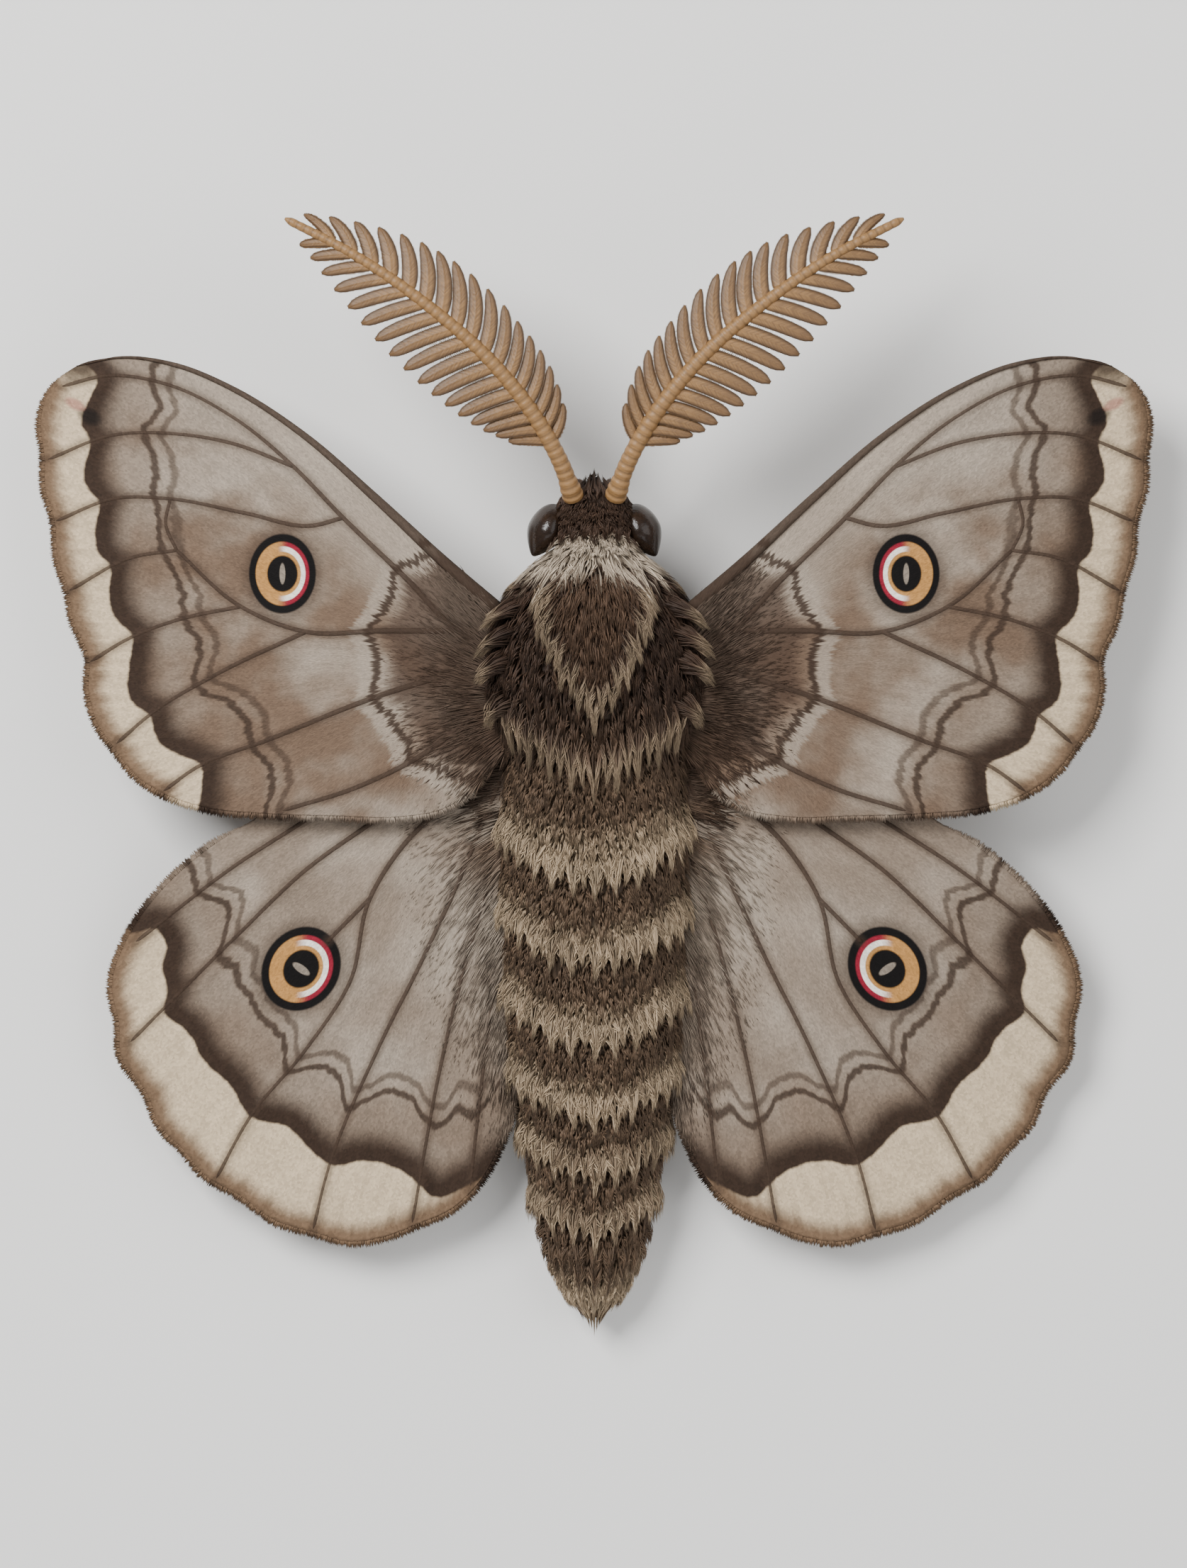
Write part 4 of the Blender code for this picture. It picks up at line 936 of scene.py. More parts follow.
def wing_paint(colours, wing):
    """Scales of a wing: bands by the distances stored with it, an eyespot, and the grain of the scales."""
    paint = Paint(f"{wing.name} scales", {"Roughness": 0.75, "Specular IOR Level": 0.12})
    past, outer, vein = paint.attribute("edge")
    hub, turn, costa = paint.attribute("reach")
    x, y, _ = paint.parts(paint.place())
    x = abs(x)
    fore = wing.name == "forewing"
    cloud = paint.noise(paint.place(), 0.09, 3.0)
    streak = paint.noise(paint.vector(turn * 1.3, hub * 0.16), 1.0, 3.0)
    bump, grain = paint.cells(paint.vector(turn / 0.17, hub / 0.34), 1.0)
    edge = past + (streak - 0.5) * 1.5
    zigzag = 2.2 * paint.step(vein, 0.0, 3.4)

    colour = paint.mix(paint.step(cloud, 0.35, 0.7), colours.wing_brown, colours.wing_grey)
    frosted = paint.step(costa, 13.0, 2.0) * 0.85 if fore else paint.step(hub, 12.0, 24.0) * 0.45
    colour = paint.mix(frosted, colour, colours.wing_grey)
    dusk = paint.step(edge, -13.0, -6.0)
    colour = paint.mix(dusk * 0.5, colour, colours.wing_brown)
    colour = paint.mix(paint.step(edge, -5.2, -1.4), colour, colours.wing_dark)
    for middle, share in ((-7.0, 0.85), (-9.2, 0.6)):
        line = paint.band(edge + zigzag, middle, 0.22, 0.5)
        colour = paint.mix(line * share, colour, colours.wing_dark)
    base_edge = hub + (streak - 0.5) * 3.0 + 1.2 * paint.step(vein, 0.0, 3.0)
    first = 17.0 if fore else 13.0
    colour = paint.mix(paint.step(base_edge, first, first - 2.5) * 0.8, colour, colours.wing_base)
    colour = paint.mix(paint.band(base_edge, first + 0.6, 0.35, 0.5) * 0.9, colour, colours.wing_dark)
    colour = paint.mix(paint.band(base_edge, first + 2.0, 0.5, 0.8) * 0.7, colour, colours.wing_grey)
    rim = paint.step(outer + (streak - 0.5) * 1.6, 3.2, 0.6)
    border = paint.mix(rim, colours.wing_pale, colours.wing_border)
    bordered = paint.step(past + (streak - 0.5) * 0.5, -0.25, 0.2)
    if fore:
        bordered = bordered * (1.0 - paint.step(costa + (streak - 0.5) * 1.2, 3.0, 0.7) * 0.9)
    colour = paint.mix(bordered, colour, border)
    if fore:
        colour = paint.mix(apex_mark(paint, x, y, 63.7, 45.4, 1.9, 1.2) * 0.7, colour, colours.black)
        colour = paint.mix(apex_mark(paint, x, y, 65.6, 47.0, 1.6, 0.8) * 0.5, colour, colours.wine)
    colour = eyespot(paint, colours, colour, x, y, wing.spot)
    colour = paint.mix(paint.step(vein, 1.1, 0.2) * 0.5, colour, colours.wing_vein)
    colour = paint.mix(paint.step(vein, -0.2, -0.8) * 0.8, colour, colours.wing_vein)
    shade = (0.84 + grain * 0.32) * (0.8 + streak * 0.4)
    height = bump * 0.6 + streak * 1.2
    return paint.finish(paint.scaled(colour, shade), height, 0.05)


def apex_mark(paint, x, y, centre_x, centre_y, half_x, half_y):
    """A soft leaning oval near the forewing's tip."""
    dx, dy = x - centre_x, y - centre_y
    u, v = (dx + dy * 0.5) / half_x, (dy - dx * 0.5) / half_y
    return paint.step(u * u + v * v, 1.5, 0.2)


def antenna_paint(colours):
    """Ochre horn, ringed along the shaft, with darker barbs, rims and tips on the branches."""
    paint = Paint("antenna horn", {"Roughness": 0.5, "Specular IOR Level": 0.4})
    along_shaft, out, rim = paint.attribute("place")
    _, tone, _ = paint.attribute("coat")
    rings = paint.noise(paint.vector(along_shaft * 2.4, 0.0), 1.0, 1.0)
    barbs = paint.noise(paint.vector(out * 30.0 - rim * 4.0, along_shaft * 0.5), 1.0, 1.0)
    branch = paint.step(out, 0.04, 0.2)
    colour = paint.mix(paint.step(out, 0.0, 1.0) * 0.7, colours.horn, colours.horn_dark)
    colour = paint.mix(branch * paint.step(barbs, 0.4, 0.62) * 0.55, colour, colours.horn_dark)
    colour = paint.mix(paint.step(rim, 0.35, 0.95) * (0.45 + branch * 0.35), colour, colours.horn_rim)
    shade = (0.8 + tone * 0.4) * (0.75 + rings * 0.5)
    height = paint.noise(paint.place(), 3.0, 2.0) - paint.step(rim, 0.0, 0.3) * 0.8 - branch * barbs
    return paint.finish(paint.scaled(colour, shade), height, 0.05)


def eye_paint(colours):
    """Dark gloss, set with small round facets."""
    paint = Paint("eye", {"Roughness": 0.2, "Specular IOR Level": 0.3})
    place = paint.place()
    dome, grain = paint.cells(place, 4.6)
    cloud = paint.noise(place, 0.6, 2.0)
    colour = paint.mix(cloud, colours.eye, colours.eye_brown)
    return paint.finish(paint.scaled(colour, 0.8 + grain * 0.4), 1.0 - dome, 0.015)


def floor_paint(colours):
    """A plain matt floor, very slightly clouded."""
    paint = Paint("pale floor", {"Roughness": 0.8, "Specular IOR Level": 0.2})
    cloud = paint.noise(paint.place(), 0.01, 2.0)
    return paint.finish(paint.scaled(colours.floor, 0.985 + cloud * 0.03))


# Settings


def length_setting(label, about, default):
    """A length in metres."""
    return bpy.props.FloatProperty(name=label, description=about, default=default, min=0.0, unit="LENGTH")


def count_setting(label, about, default):
    """A whole number."""
    return bpy.props.IntProperty(name=label, description=about, default=default, min=1)


def colour_setting(label, about, default):
    """A colour as three shares of light."""
    return bpy.props.FloatVectorProperty(
        name=label, description=about, default=default, min=0.0, max=1.0, size=3, subtype="COLOR"
    )


class MothSizes(bpy.types.PropertyGroup):
    """Sizes of the moth's skin, wings and antennae"""

    skin_depth: length_setting("Skin depth", "How far the skin lies under the solid body", 0.0005)
    membrane: length_setting("Wing thickness", "Thickness of a wing between its veins", 0.00034)
    vein: length_setting("Vein width", "Half width of a vein near the wing's root", 0.00052)
    fringe: length_setting("Wing fringe", "Length of the scales along a wing's edge", 0.0013)
    cilia: length_setting("Cilia", "Length of the fine hairs of an antenna's branch", 0.00045)


class MothCoat(bpy.types.PropertyGroup):
    """Sizes of the body's fur"""

    thorax_hair: length_setting("Thorax fur", "Length of the locks on the thorax", 0.0058)
    abdomen_hair: length_setting("Abdomen fur", "Length of the locks on the abdomen", 0.0042)
    head_hair: length_setting("Head fur", "Length of the locks on the head", 0.0021)
    hair_width: length_setting("Hair width", "Width of one strand of the long fur", 0.00021)
    seed: count_setting("Seed", "Start of the random draws of the fur", 7)


class MothColours(bpy.types.PropertyGroup):
    """Colours of the fur, scales, horn, eyes and floor"""

    thorax_fur: colour_setting("Thorax fur", "Dark brown of the thorax", (0.052, 0.029, 0.018))
    shield_fur: colour_setting("Shield fur", "Fur over the middle of the thorax", (0.095, 0.056, 0.034))
    abdomen_fur: colour_setting("Abdomen fur", "Brown of the abdomen's rings", (0.115, 0.073, 0.045))
    fringe_fur: colour_setting("Fringe fur", "Pale fringe of each ring", (0.40, 0.30, 0.195))
    collar_fur: colour_setting("Collar fur", "Pale band behind the head", (0.50, 0.41, 0.31))
    leg_fur: colour_setting("Leg fur", "Brown of the legs", (0.085, 0.046, 0.026))
    wing_brown: colour_setting("Wing brown", "Ground colour of the wings", (0.125, 0.082, 0.055))
    wing_grey: colour_setting("Wing grey", "Frosted scales of the wings", (0.29, 0.24, 0.19))
    wing_dark: colour_setting("Wing dark", "Dark bands of the wings", (0.030, 0.018, 0.012))
    wing_base: colour_setting("Wing base", "Patch at the wing's root", (0.052, 0.031, 0.021))
    wing_pale: colour_setting("Wing border", "Pale border of the wings", (0.50, 0.39, 0.26))
    wing_border: colour_setting("Wing edge", "Outer edge of the border", (0.15, 0.095, 0.057))
    wing_vein: colour_setting("Wing veins", "Scales along the veins", (0.040, 0.025, 0.017))
    wine: colour_setting("Wine", "Red arc of the eyespots", (0.21, 0.012, 0.026))
    ochre: colour_setting("Ochre", "Ring of the eyespots", (0.38, 0.19, 0.058))
    white: colour_setting("White", "White arc of the eyespots", (0.74, 0.68, 0.60))
    black: colour_setting("Black", "Rim and middle of the eyespots", (0.0045, 0.0036, 0.0034))
    horn: colour_setting("Antenna shaft", "Ochre of the antennae", (0.25, 0.135, 0.050))
    horn_dark: colour_setting("Antenna branches", "Darker tips of the branches", (0.105, 0.056, 0.025))
    horn_rim: colour_setting("Antenna rims", "Dark edges of the branches", (0.045, 0.024, 0.011))
    eye: colour_setting("Eye", "Near-black of the eyes", (0.006, 0.0045, 0.004))
    eye_brown: colour_setting("Eye glow", "Brown cloud in the eyes", (0.030, 0.016, 0.009))
    floor: colour_setting("Floor", "Pale floor", (0.80, 0.79, 0.77))


# Pieces


class MOTH_OT_body(bpy.types.Operator):
    """One skin over the head, thorax and abdomen, grooved between the abdomen's rings"""

    bl_idname = "moth.body"
    bl_label = "Body skin"

    def execute(self, context):
        y = np.linspace(BODY_STATIONS[0][0], BODY_STATIONS[-1][0], BODY_ROWS)[:, None]
        angle = np.linspace(-pi, pi, BODY_COLUMNS, endpoint=False)[None, :]
        ring = ring_place(y, angle)[1]
        width = np.interp(y, (RING_STARTS[-1], RING_STARTS[0]), (8.0, 11.0))
        from_edge = np.minimum(ring, 1.0 - ring) * width
        groove = RING_GROOVE * np.exp(-((from_edge / RING_GROOVE_WIDTH) ** 2)) * (y < WAIST_Y)
        depth = context.scene.moth_sizes.skin_depth / MM
        rings = body_point(y, angle, -np.minimum(depth + groove, 0.8 * body_section(y)[0]))
        rings[..., 2] = np.maximum(rings[..., 2], 0.5 * FLOOR_GAP)
        points, faces = closed_tube(rings, BODY_TIP, FACE_TIP)
        skin = make_piece("body_skin", points, faces, fur_finish(context))
        marks = body_marks(*np.broadcast_arrays(y, angle)).reshape(-1, 3)
        give(skin, "place", np.concatenate([marks, marks[[0]], marks[[-1]]]))
        # The skin's along of 0.1 gives it nearly the painted shade of the hairs' roots, as if it lay in the
        # shade of the fur.
        give_all(skin, "coat", (0.1, 0.4, COAT))
        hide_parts("head", "thorax", *(f"abdomen_{k}" for k in range(1, len(RING_STARTS))))
        return {"FINISHED"}


def both_sides(rows):
    """Each (angle, ...) row, and its mirror image where the angle isn't 0."""
    rows = np.asarray(rows, float)
    return np.concatenate([rows, rows[rows[:, 0] > 0] * ([-1.0] + [1.0] * (rows.shape[1] - 1))])


def shield_angle(y):
    """Angle from the top of the shield's edge at y, as its half width seen from above over the body's."""
    edge = np.array(SHIELD_EDGE)
    return np.arcsin(np.clip(np.interp(y, edge[:, 0], edge[:, 1]) / (body_section(y)[0] + 1.2), 0.0, 1.0))


def field(low, high, spacing, rng):
    """Loose, even lock roots over the body from one y to another, about the spacing apart."""
    rows = np.linspace(low, high, 200)
    half_width, half_height, _ = body_section(rows)
    area = (high - low) * np.mean(pi * (half_width + half_height))
    y, angle = spread(low, high, round(area / spacing**2), lambda at: sum(body_section(at)[:2]))
    y = np.clip(y + rng.normal(0.0, 0.25 * spacing, len(y)), low, high)
    angle = angle + rng.normal(0.0, 0.25 * spacing, len(y)) / body_section(y)[0]
    return y, (angle + pi) % (2 * pi) - pi


def abdomen_fur(length, width, seed):
    """Fur of the abdomen: under fur, locks that thicken through each ring, and fringes over the next one."""
    under = Fur("abdomen_under_coat", [seed, 1], SHORT_HAIR)
    y, angle = field(-68.8, WAIST_Y + 1.0, 0.64, under.rng)
    y, angle = y[np.abs(angle) < BELLY_TURN], angle[np.abs(angle) < BELLY_TURN]
    ends = merged(np.maximum(y - 2.6, -69.3), angle)
    under.add(merged(y, angle), ends, width=0.9, lift=0.3, count=1, hair_width=1.8 * width, layer=UNDER)
    pieces = [under]
    ends_of_rings = np.append(RING_STARTS[1:], (ABDOMEN_END, ABDOMEN_END))
    for name, draws, low, high in ABDOMEN_COATS:
        fur = Fur(name, [seed, draws], SHORT_HAIR)
        y, angle = field(low, high, 1.28, fur.rng)
        number, ring = ring_place(y, angle)
        edge = ring_edge(ends_of_rings[number.astype(int)], angle)
        kept = (y - edge > 2.4) & (np.abs(angle) < BELLY_TURN)
        y, angle, ring, edge = y[kept], angle[kept], ring[kept], edge[kept]
        reach = length * fur.rng.uniform(0.85, 1.15, len(y))
        side = smooth(np.abs(angle), 1.1, 1.5) * smooth(np.abs(angle), 2.2, 1.7)
        lift = 0.25 + 0.6 * ring + 0.5 * side
        ends = merged(np.maximum(y - reach, edge - 0.6), angle * (1.0 + 0.02 * side))
        fur.add(merged(y, angle), ends, width=1.9, lift=lift, count=17, hair_width=width, layer=COAT)
        pieces.append(fur)
    fringe = Fur("abdomen_fringe", [seed, 3])
    for start in RING_STARTS[1:-1]:
        half_width = body_section(start)[0]
        teeth = np.arange(0.0, 2.5 * half_width, FRINGE_TOOTH)
        for offset, reach, rise, thick in FRINGE_ROWS:
            turns = (teeth + offset * FRINGE_TOOTH) / half_width
            angles, reaches = both_sides(merged(turns, reach)).T
            angle = angles + fringe.rng.normal(0.0, 0.015, len(angles)) * (angles != 0)
            edge = ring_edge(start, angle)
            reaches = reaches * fringe.rng.uniform(0.85, 1.12, len(angles)) + 0.7 * (angles == 0)
            begin, end = merged(edge + 3.4, angle), merged(edge - reaches, angle * 1.01)
            lift = 1.0 + rise + 0.5 * smooth(np.abs(angle), 1.0, 1.5)
            fringe.add(begin, end, width=3.2, lift=lift, count=thick, hair_width=width, layer=EDGE, pinch=0.05)
    return [*pieces, fringe, tail_fur(width, seed)]


def tail_fur(width, seed):
    """Fur of the abdomen's tip: rows of locks round it, teeth on its sides and locks that meet past its end."""
    tail = Fur("tail_coat", [seed, 4])
    for start, reach, count in TAIL_ROWS:
        begin = merged(start, np.radians(np.linspace(-150.0, 150.0, count)))
        end = begin - merged(reach * tail.rng.uniform(0.9, 1.1, count), 0.0)
        tail.add(begin, end, width=2.8, lift=1.0, count=46, hair_width=width, layer=EDGE, pinch=0.05)
    for side, _ in SIDES:
        begin = merged(TAIL_TEETH, side * TAIL_TEETH_TURN)
        end = begin + (-4.3, side * 0.12)
        tail.add(begin, end, width=2.6, lift=1.35, count=60, hair_width=width, layer=EDGE, pinch=0.03)
    turn = np.radians(np.linspace(-160.0, 160.0, TAIL_ENDS))
    begin, end = merged(-64.6, turn), merged(-71.4 + 0.7 * np.abs(turn), turn * 0.4)
    tail.add(begin, end, width=2.4, lift=0.35, count=60, hair_width=width, layer=EDGE, pinch=0.06)
    return tail


def thorax_fur(length, width, seed):
    """Fur of the thorax: an under layer, the mantle with its edge over abdomen and wings, and the shield."""
    under = Fur("thorax_under_coat", [seed, 11], SHORT_HAIR)
    y, angle = field(WAIST_Y - 1.0, NECK_Y + 0.6, 1.0, under.rng)
    ends = merged(y - 3.0, angle)
    under.add(merged(y, angle), ends, width=1.0, lift=0.35, count=1, hair_width=1.8 * width, layer=UNDER)

    mantle = Fur("thorax_coat", [seed, 12], SHORT_HAIR)
    y, angle = field(5.0, NECK_Y + 0.4, 1.6, mantle.rng)
    reach = length * mantle.rng.uniform(0.85, 1.1, len(y))
    ends = merged(np.maximum(y - reach, -1.0), angle * 1.03)
    lift = 0.8 + 0.5 * smooth(np.abs(angle), 0.9, 1.4) * smooth(np.abs(angle), 2.0, 1.6)
    mantle.add(merged(y, angle), ends, width=2.3, lift=lift, count=22, hair_width=width, layer=COAT)

    edge = Fur("mantle_edge", [seed, 13])
    between = [(a + 6.6, b + 1.9) for a, b in MANTLE_TIPS[:-1]]
    for tips, thick, share in ((MANTLE_TIPS, 120, 1.0), (between, 70, 0.85)):
        angles, ys = both_sides(tips).T
        angle = np.radians(angles)
        begin, end = merged(ys + share * MANTLE_LENGTH, angle), merged(ys, angle)
        across = 3.8 * share
        edge.add(begin, end, width=across, lift=1.75, count=thick, hair_width=width, layer=EDGE, pinch=0.05)
    for side, _ in SIDES:
        flank = np.array(FLANK_TIPS)
        turn = np.radians(flank[:, 3])
        lift = flank[:, 1] / np.sin(turn) - body_section(flank[:, 2])[0]
        begin = merged(flank[:, 0], side * (turn - radians(FLANK_LEAN)))
        end = merged(flank[:, 2], side * turn)
        edge.add(begin, end, width=3.3, lift=lift, count=130, hair_width=width, layer=EDGE, pinch=0.04)
        begin, end = begin + (-0.8, side * 0.05), end + (1.3, side * 0.05)
        edge.add(begin, end, width=3.0, lift=lift * 0.5, count=80, hair_width=width, layer=COAT, pinch=0.1)

    shield = Fur("shield_coat", [seed, 14], SHORT_HAIR)
    y, angle = field(6.0, NECK_Y - 0.6, 1.25, shield.rng)
    end_y = y - length * shield.rng.uniform(0.85, 1.1, len(y))
    kept = (np.abs(angle) < shield_angle(end_y) + 0.02) & (end_y > 4.9)
    y, angle, end_y = y[kept], angle[kept], end_y[kept]
    begin, end = merged(y, angle), merged(end_y, angle * 0.96)
    lift = 1.4 - 0.4 * smooth(end_y, 19.0, 24.0)
    shield.add(begin, end, width=2.0, lift=lift, count=24, hair_width=width, layer=SHIELD, pinch=0.3)

    rim = Fur("shield_edge", [seed, 15])
    rows = np.array(SHIELD_EDGE[:-1])
    rows = np.concatenate([rows, (rows[1:] + rows[:-1]) / 2 + (0.7, -0.25)])
    turn = np.arcsin(rows[:, 1] / (body_section(rows[:, 0])[0] + 1.4))
    for side, _ in SIDES:
        begin = merged(np.minimum(rows[:, 0] + 7.4, 28.0), side * turn * 0.86)
        end = merged(rows[:, 0], side * turn)
        rim.add(begin, end, width=2.8, lift=1.8, count=90, hair_width=width, layer=EDGE, pinch=0.05)
    return [under, mantle, edge, shield, rim]


def head_fur(length, width, seed):
    """Fur of the head: parted on the crown, with locks over the nape behind and tufts on the face."""
    nape = Fur("nape_coat", [seed, 21], SHORT_HAIR)
    angles, ys = both_sides(NAPE_TIPS).T
    turn = np.radians(angles)
    begin, end = merged(ys + 3.6, turn * 1.02), merged(ys, turn)
    nape.add(begin, end, width=1.9, lift=0.9, count=70, hair_width=width, layer=COAT, pinch=0.1)

    head = Fur("head_coat", [seed, 22], SHORT_HAIR)
    y, angle = field(28.8, 36.9, 0.72, head.rng)
    middle, half, eye_front = EYE_PATCH
    furred = (np.abs(np.abs(angle) - middle) > half) | (y > eye_front)
    y, angle = y[furred], angle[furred]
    reach = length * head.rng.uniform(0.7, 1.1, len(y))
    way = np.where(y < CROWN_Y + head.rng.normal(0.0, 0.6, len(y)), -1.0, 0.6)
    front = 38.2 - 1.5 * smooth(np.abs(angle), 0.0, 1.3)
    begin, end = merged(y, angle), merged(np.minimum(y + reach * way, front), angle)
    lift = np.where(y > 35.0, 0.35, 0.55)
    head.add(begin, end, width=1.3, lift=lift, count=18, hair_width=0.8 * width, layer=COAT, pinch=0.45)
    tufts = both_sides(HEAD_TUFTS)
    turn = np.radians(tufts[:, 0])
    begin, end = merged(tufts[:, 1] - 4.4, turn), merged(tufts[:, 1], turn)
    head.add(begin, end, width=2.6, lift=tufts[:, 2], count=110, hair_width=width, layer=COAT, pinch=0.2)
    return [nape, head]


class MOTH_OT_fur(bpy.types.Operator):
    """Fur of the abdomen, thorax and head in locks of fine hairs"""

    bl_idname = "moth.fur"
    bl_label = "Body fur"

    def execute(self, context):
        coat = context.scene.moth_coat
        width = coat.hair_width / MM
        for grow_fur, length, slot in (
            (abdomen_fur, coat.abdomen_hair, "abdomen_fur"),
            (thorax_fur, coat.thorax_hair, "thorax_fur"),
            (head_fur, coat.head_hair, "thorax_fur"),
        ):
            for fur in grow_fur(length / MM, width, coat.seed):
                fur.grown(fur_finish(context), slot)
        return {"FINISHED"}


def wing_sheet(wing, side, thickness, finish):
    """A wing's membrane: an upper and a lower grid over the fan of its plan, joined all round the rim."""
    around, out = np.meshgrid(np.linspace(0, 1, WING_LINES), np.linspace(0, 1, WING_STEPS), indexing="ij")
    plan = wing.fan(around, out).reshape(-1, 2)
    first, second = wing.marks(plan)
    level = wing.level(plan, first[:, 2])
    half = 0.5 * (EDGE_THICKNESS + (thickness - EDGE_THICKNESS) * smooth(out.ravel(), 1.0, 0.9))
    upper, lower = (np.column_stack([plan * (side, 1.0), level + half * way]) for way in (1.0, -1.0))
    count = len(plan)
    numbers = np.arange(count).reshape(WING_LINES, WING_STEPS)
    loop = np.concatenate([numbers[0, :-1], numbers[:-1, -1], numbers[-1, :0:-1], numbers[:0:-1, 0]])
    after = np.roll(loop, -1)
    top = grid_faces(WING_LINES, WING_STEPS, False)
    rim = merged(after, loop, loop + count, after + count)
    faces = [top, top[:, ::-1] + count, rim]
    name = wing.label(side)
    sheet = make_piece(f"{name}_membrane", np.concatenate([upper, lower]), faces, finish)
    give_marks(sheet, np.tile(first, (2, 1)), np.tile(second, (2, 1)))
    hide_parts(name)


def wing_veins(wing, side, half_width, finish):
    """The veins and the thick front edge, each an ellipse along its line that thins towards the margin."""
    shapes = []
    for k, plan in enumerate([*wing.veins, wing.costa]):
        costa = k == len(wing.veins)
        from_hub = np.linalg.norm(plan - wing.hub, axis=1)
        size = half_width * (0.5 + 0.55 * np.exp(-from_hub / 26.0)) * (1.5 if costa else 1.0)
        free = distance_to(wing.margin, plan[-1:])[0] < VEIN_TAPER
        ends = np.minimum(1.0, chord_lengths(plan[::-1])[::-1] / VEIN_TAPER + 0.25) if free else 1.0
        if costa:
            ends = np.interp(np.linspace(0.0, 1.0, len(plan)), (0.0, 0.8, 1.0), (1.25, 0.65, 0.1))
        line = np.column_stack([plan * (side, 1.0), wing.level(plan, np.zeros(len(plan)))])
        shapes.append(swept(line, size * ends, size * ends * 0.78, 8))
    points, faces = joined(shapes)
    veins = make_piece(f"{wing.label(side)}_veins", points, faces, finish)
    first, second = wing.marks(points[:, :2] * (side, 1.0))
    first[:, 2] = -1.0
    give_marks(veins, first, second)


def plan_hairs(name, wing, side, roots, tips, lifts, widths, stations, rng, finish):
    """Hair that lies on a wing, from plan places to others, with its height over the wing's upper face."""
    places = roots[:, None] + (tips - roots)[:, None] * stations[None, :, None]
    flat = places.reshape(-1, 2)
    vein = np.min([distance_to(line, flat) for line in wing.veins], axis=0)
    height = wing.level(flat, vein).reshape(places.shape[:2])
    climb = np.sqrt(stations)[None] * lifts[:, None] - 0.3 * (1 - stations[None])
    centres = np.concatenate([places * (side, 1.0), (height + climb)[..., None]], axis=-1)
    ups = np.broadcast_to((0.0, 0.0, 1.0), centres.shape)
    first, second = wing.marks(roots)
    tones = rng.uniform(0.0, 1.0, len(roots))
    patches = unwrapped(second[:, 1], second[:, 0])
    piece = hair_piece(name, centres, ups, widths, first, tones, tones, patches, finish)
    size = 3 * (len(stations) - 1) + 1
    give_marks(piece, np.repeat(first, size, axis=0), np.repeat(second, size, axis=0))


def wing_fringe(wing, side, length, rng, finish):
    """A row of scales that stand out from the wing's free edge, square to it."""
    lengths = chord_lengths(wing.margin)
    begin = chord_lengths(wing.costa)[-1] / lengths[-1]
    places = np.linspace(begin, 0.985, FRINGE_SCALES) + rng.uniform(-0.0002, 0.0002, FRINGE_SCALES)
    rim = wing.fan(places, np.ones(len(places)))
    heading = unit(wing.fan(places + 0.001, np.ones(len(places))) - rim)
    square = merged(-heading[:, 1], heading[:, 0])
    away = np.sign(np.einsum("ij,ij->i", square, rim - wing.hub))[:, None] * square
    growing = 0.2 + 0.8 * smooth(places, begin, begin + 0.05)
    reach = length * (rng.uniform(0.6, 1.0, len(places)) * growing)[:, None]
    lean = rng.normal(0.0, 0.12, len(places))[:, None] * heading
    tips = rim + (away + lean) * (reach - 0.25)
    lifts = rng.uniform(-0.1, 0.25, len(places))
    widths = rng.uniform(0.2, 0.34, len(places))
    name = f"{wing.label(side)}_fringe"
    plan_hairs(name, wing, side, rim - away * 0.5, tips, lifts, widths, SHORT_HAIR, rng, finish)


def wing_base_hair(wing, side, rng, finish):
    """Long hair over the wing's root, which grows shorter and sparser outwards."""
    count = WING_HAIRS
    around = rng.uniform(0.02, 0.98, count)
    reach = rng.uniform(0.0, 1.0, count) ** 1.5 * WING_HAIR_REACH
    base, rim = wing.fan(around, np.zeros(count)), wing.fan(around, np.ones(count))
    span = np.linalg.norm(rim - base, axis=1)
    roots = base + unit(rim - base) * np.minimum(reach, 0.8 * span)[:, None]
    heading = unit(rim - base) + rng.normal(0.0, 0.13, (count, 2))
    if wing.name == "hindwing":
        heading[:, 1] -= 0.8 * smooth(roots[:, 1], 0.0, -14.0)
    length = np.interp(reach, (0.0, WING_HAIR_REACH), (5.0, 1.5)) * rng.uniform(0.7, 1.1, count)
    tips = roots + unit(heading) * np.minimum(length, 0.5 * span + 0.5)[:, None]
    lifts = np.interp(reach, (0.0, WING_HAIR_REACH), (0.9, 0.06)) * rng.uniform(0.5, 1.0, count)
    widths = rng.uniform(0.14, 0.26, count)
    name = f"{wing.label(side)}_hair"
    plan_hairs(name, wing, side, roots, tips, lifts, widths, LONG_HAIR, rng, finish)


class MOTH_OT_wings(bpy.types.Operator):
    """The four wings with their veins, scale fringes and basal hair"""

    bl_idname = "moth.wings"
    bl_label = "Wings"

    def execute(self, context):
        sizes = context.scene.moth_sizes
        for wing in (FOREWING, HINDWING):
            finish = wing_paint(context.scene.moth_colours, wing)
            rng = np.random.default_rng([context.scene.moth_coat.seed, len(wing.veins)])
            for side, _ in SIDES:
                wing_sheet(wing, side, sizes.membrane / MM, finish)
                wing_veins(wing, side, sizes.vein / MM, finish)
                wing_fringe(wing, side, sizes.fringe / MM, rng, finish)
                wing_base_hair(wing, side, rng, finish)
        return {"FINISHED"}


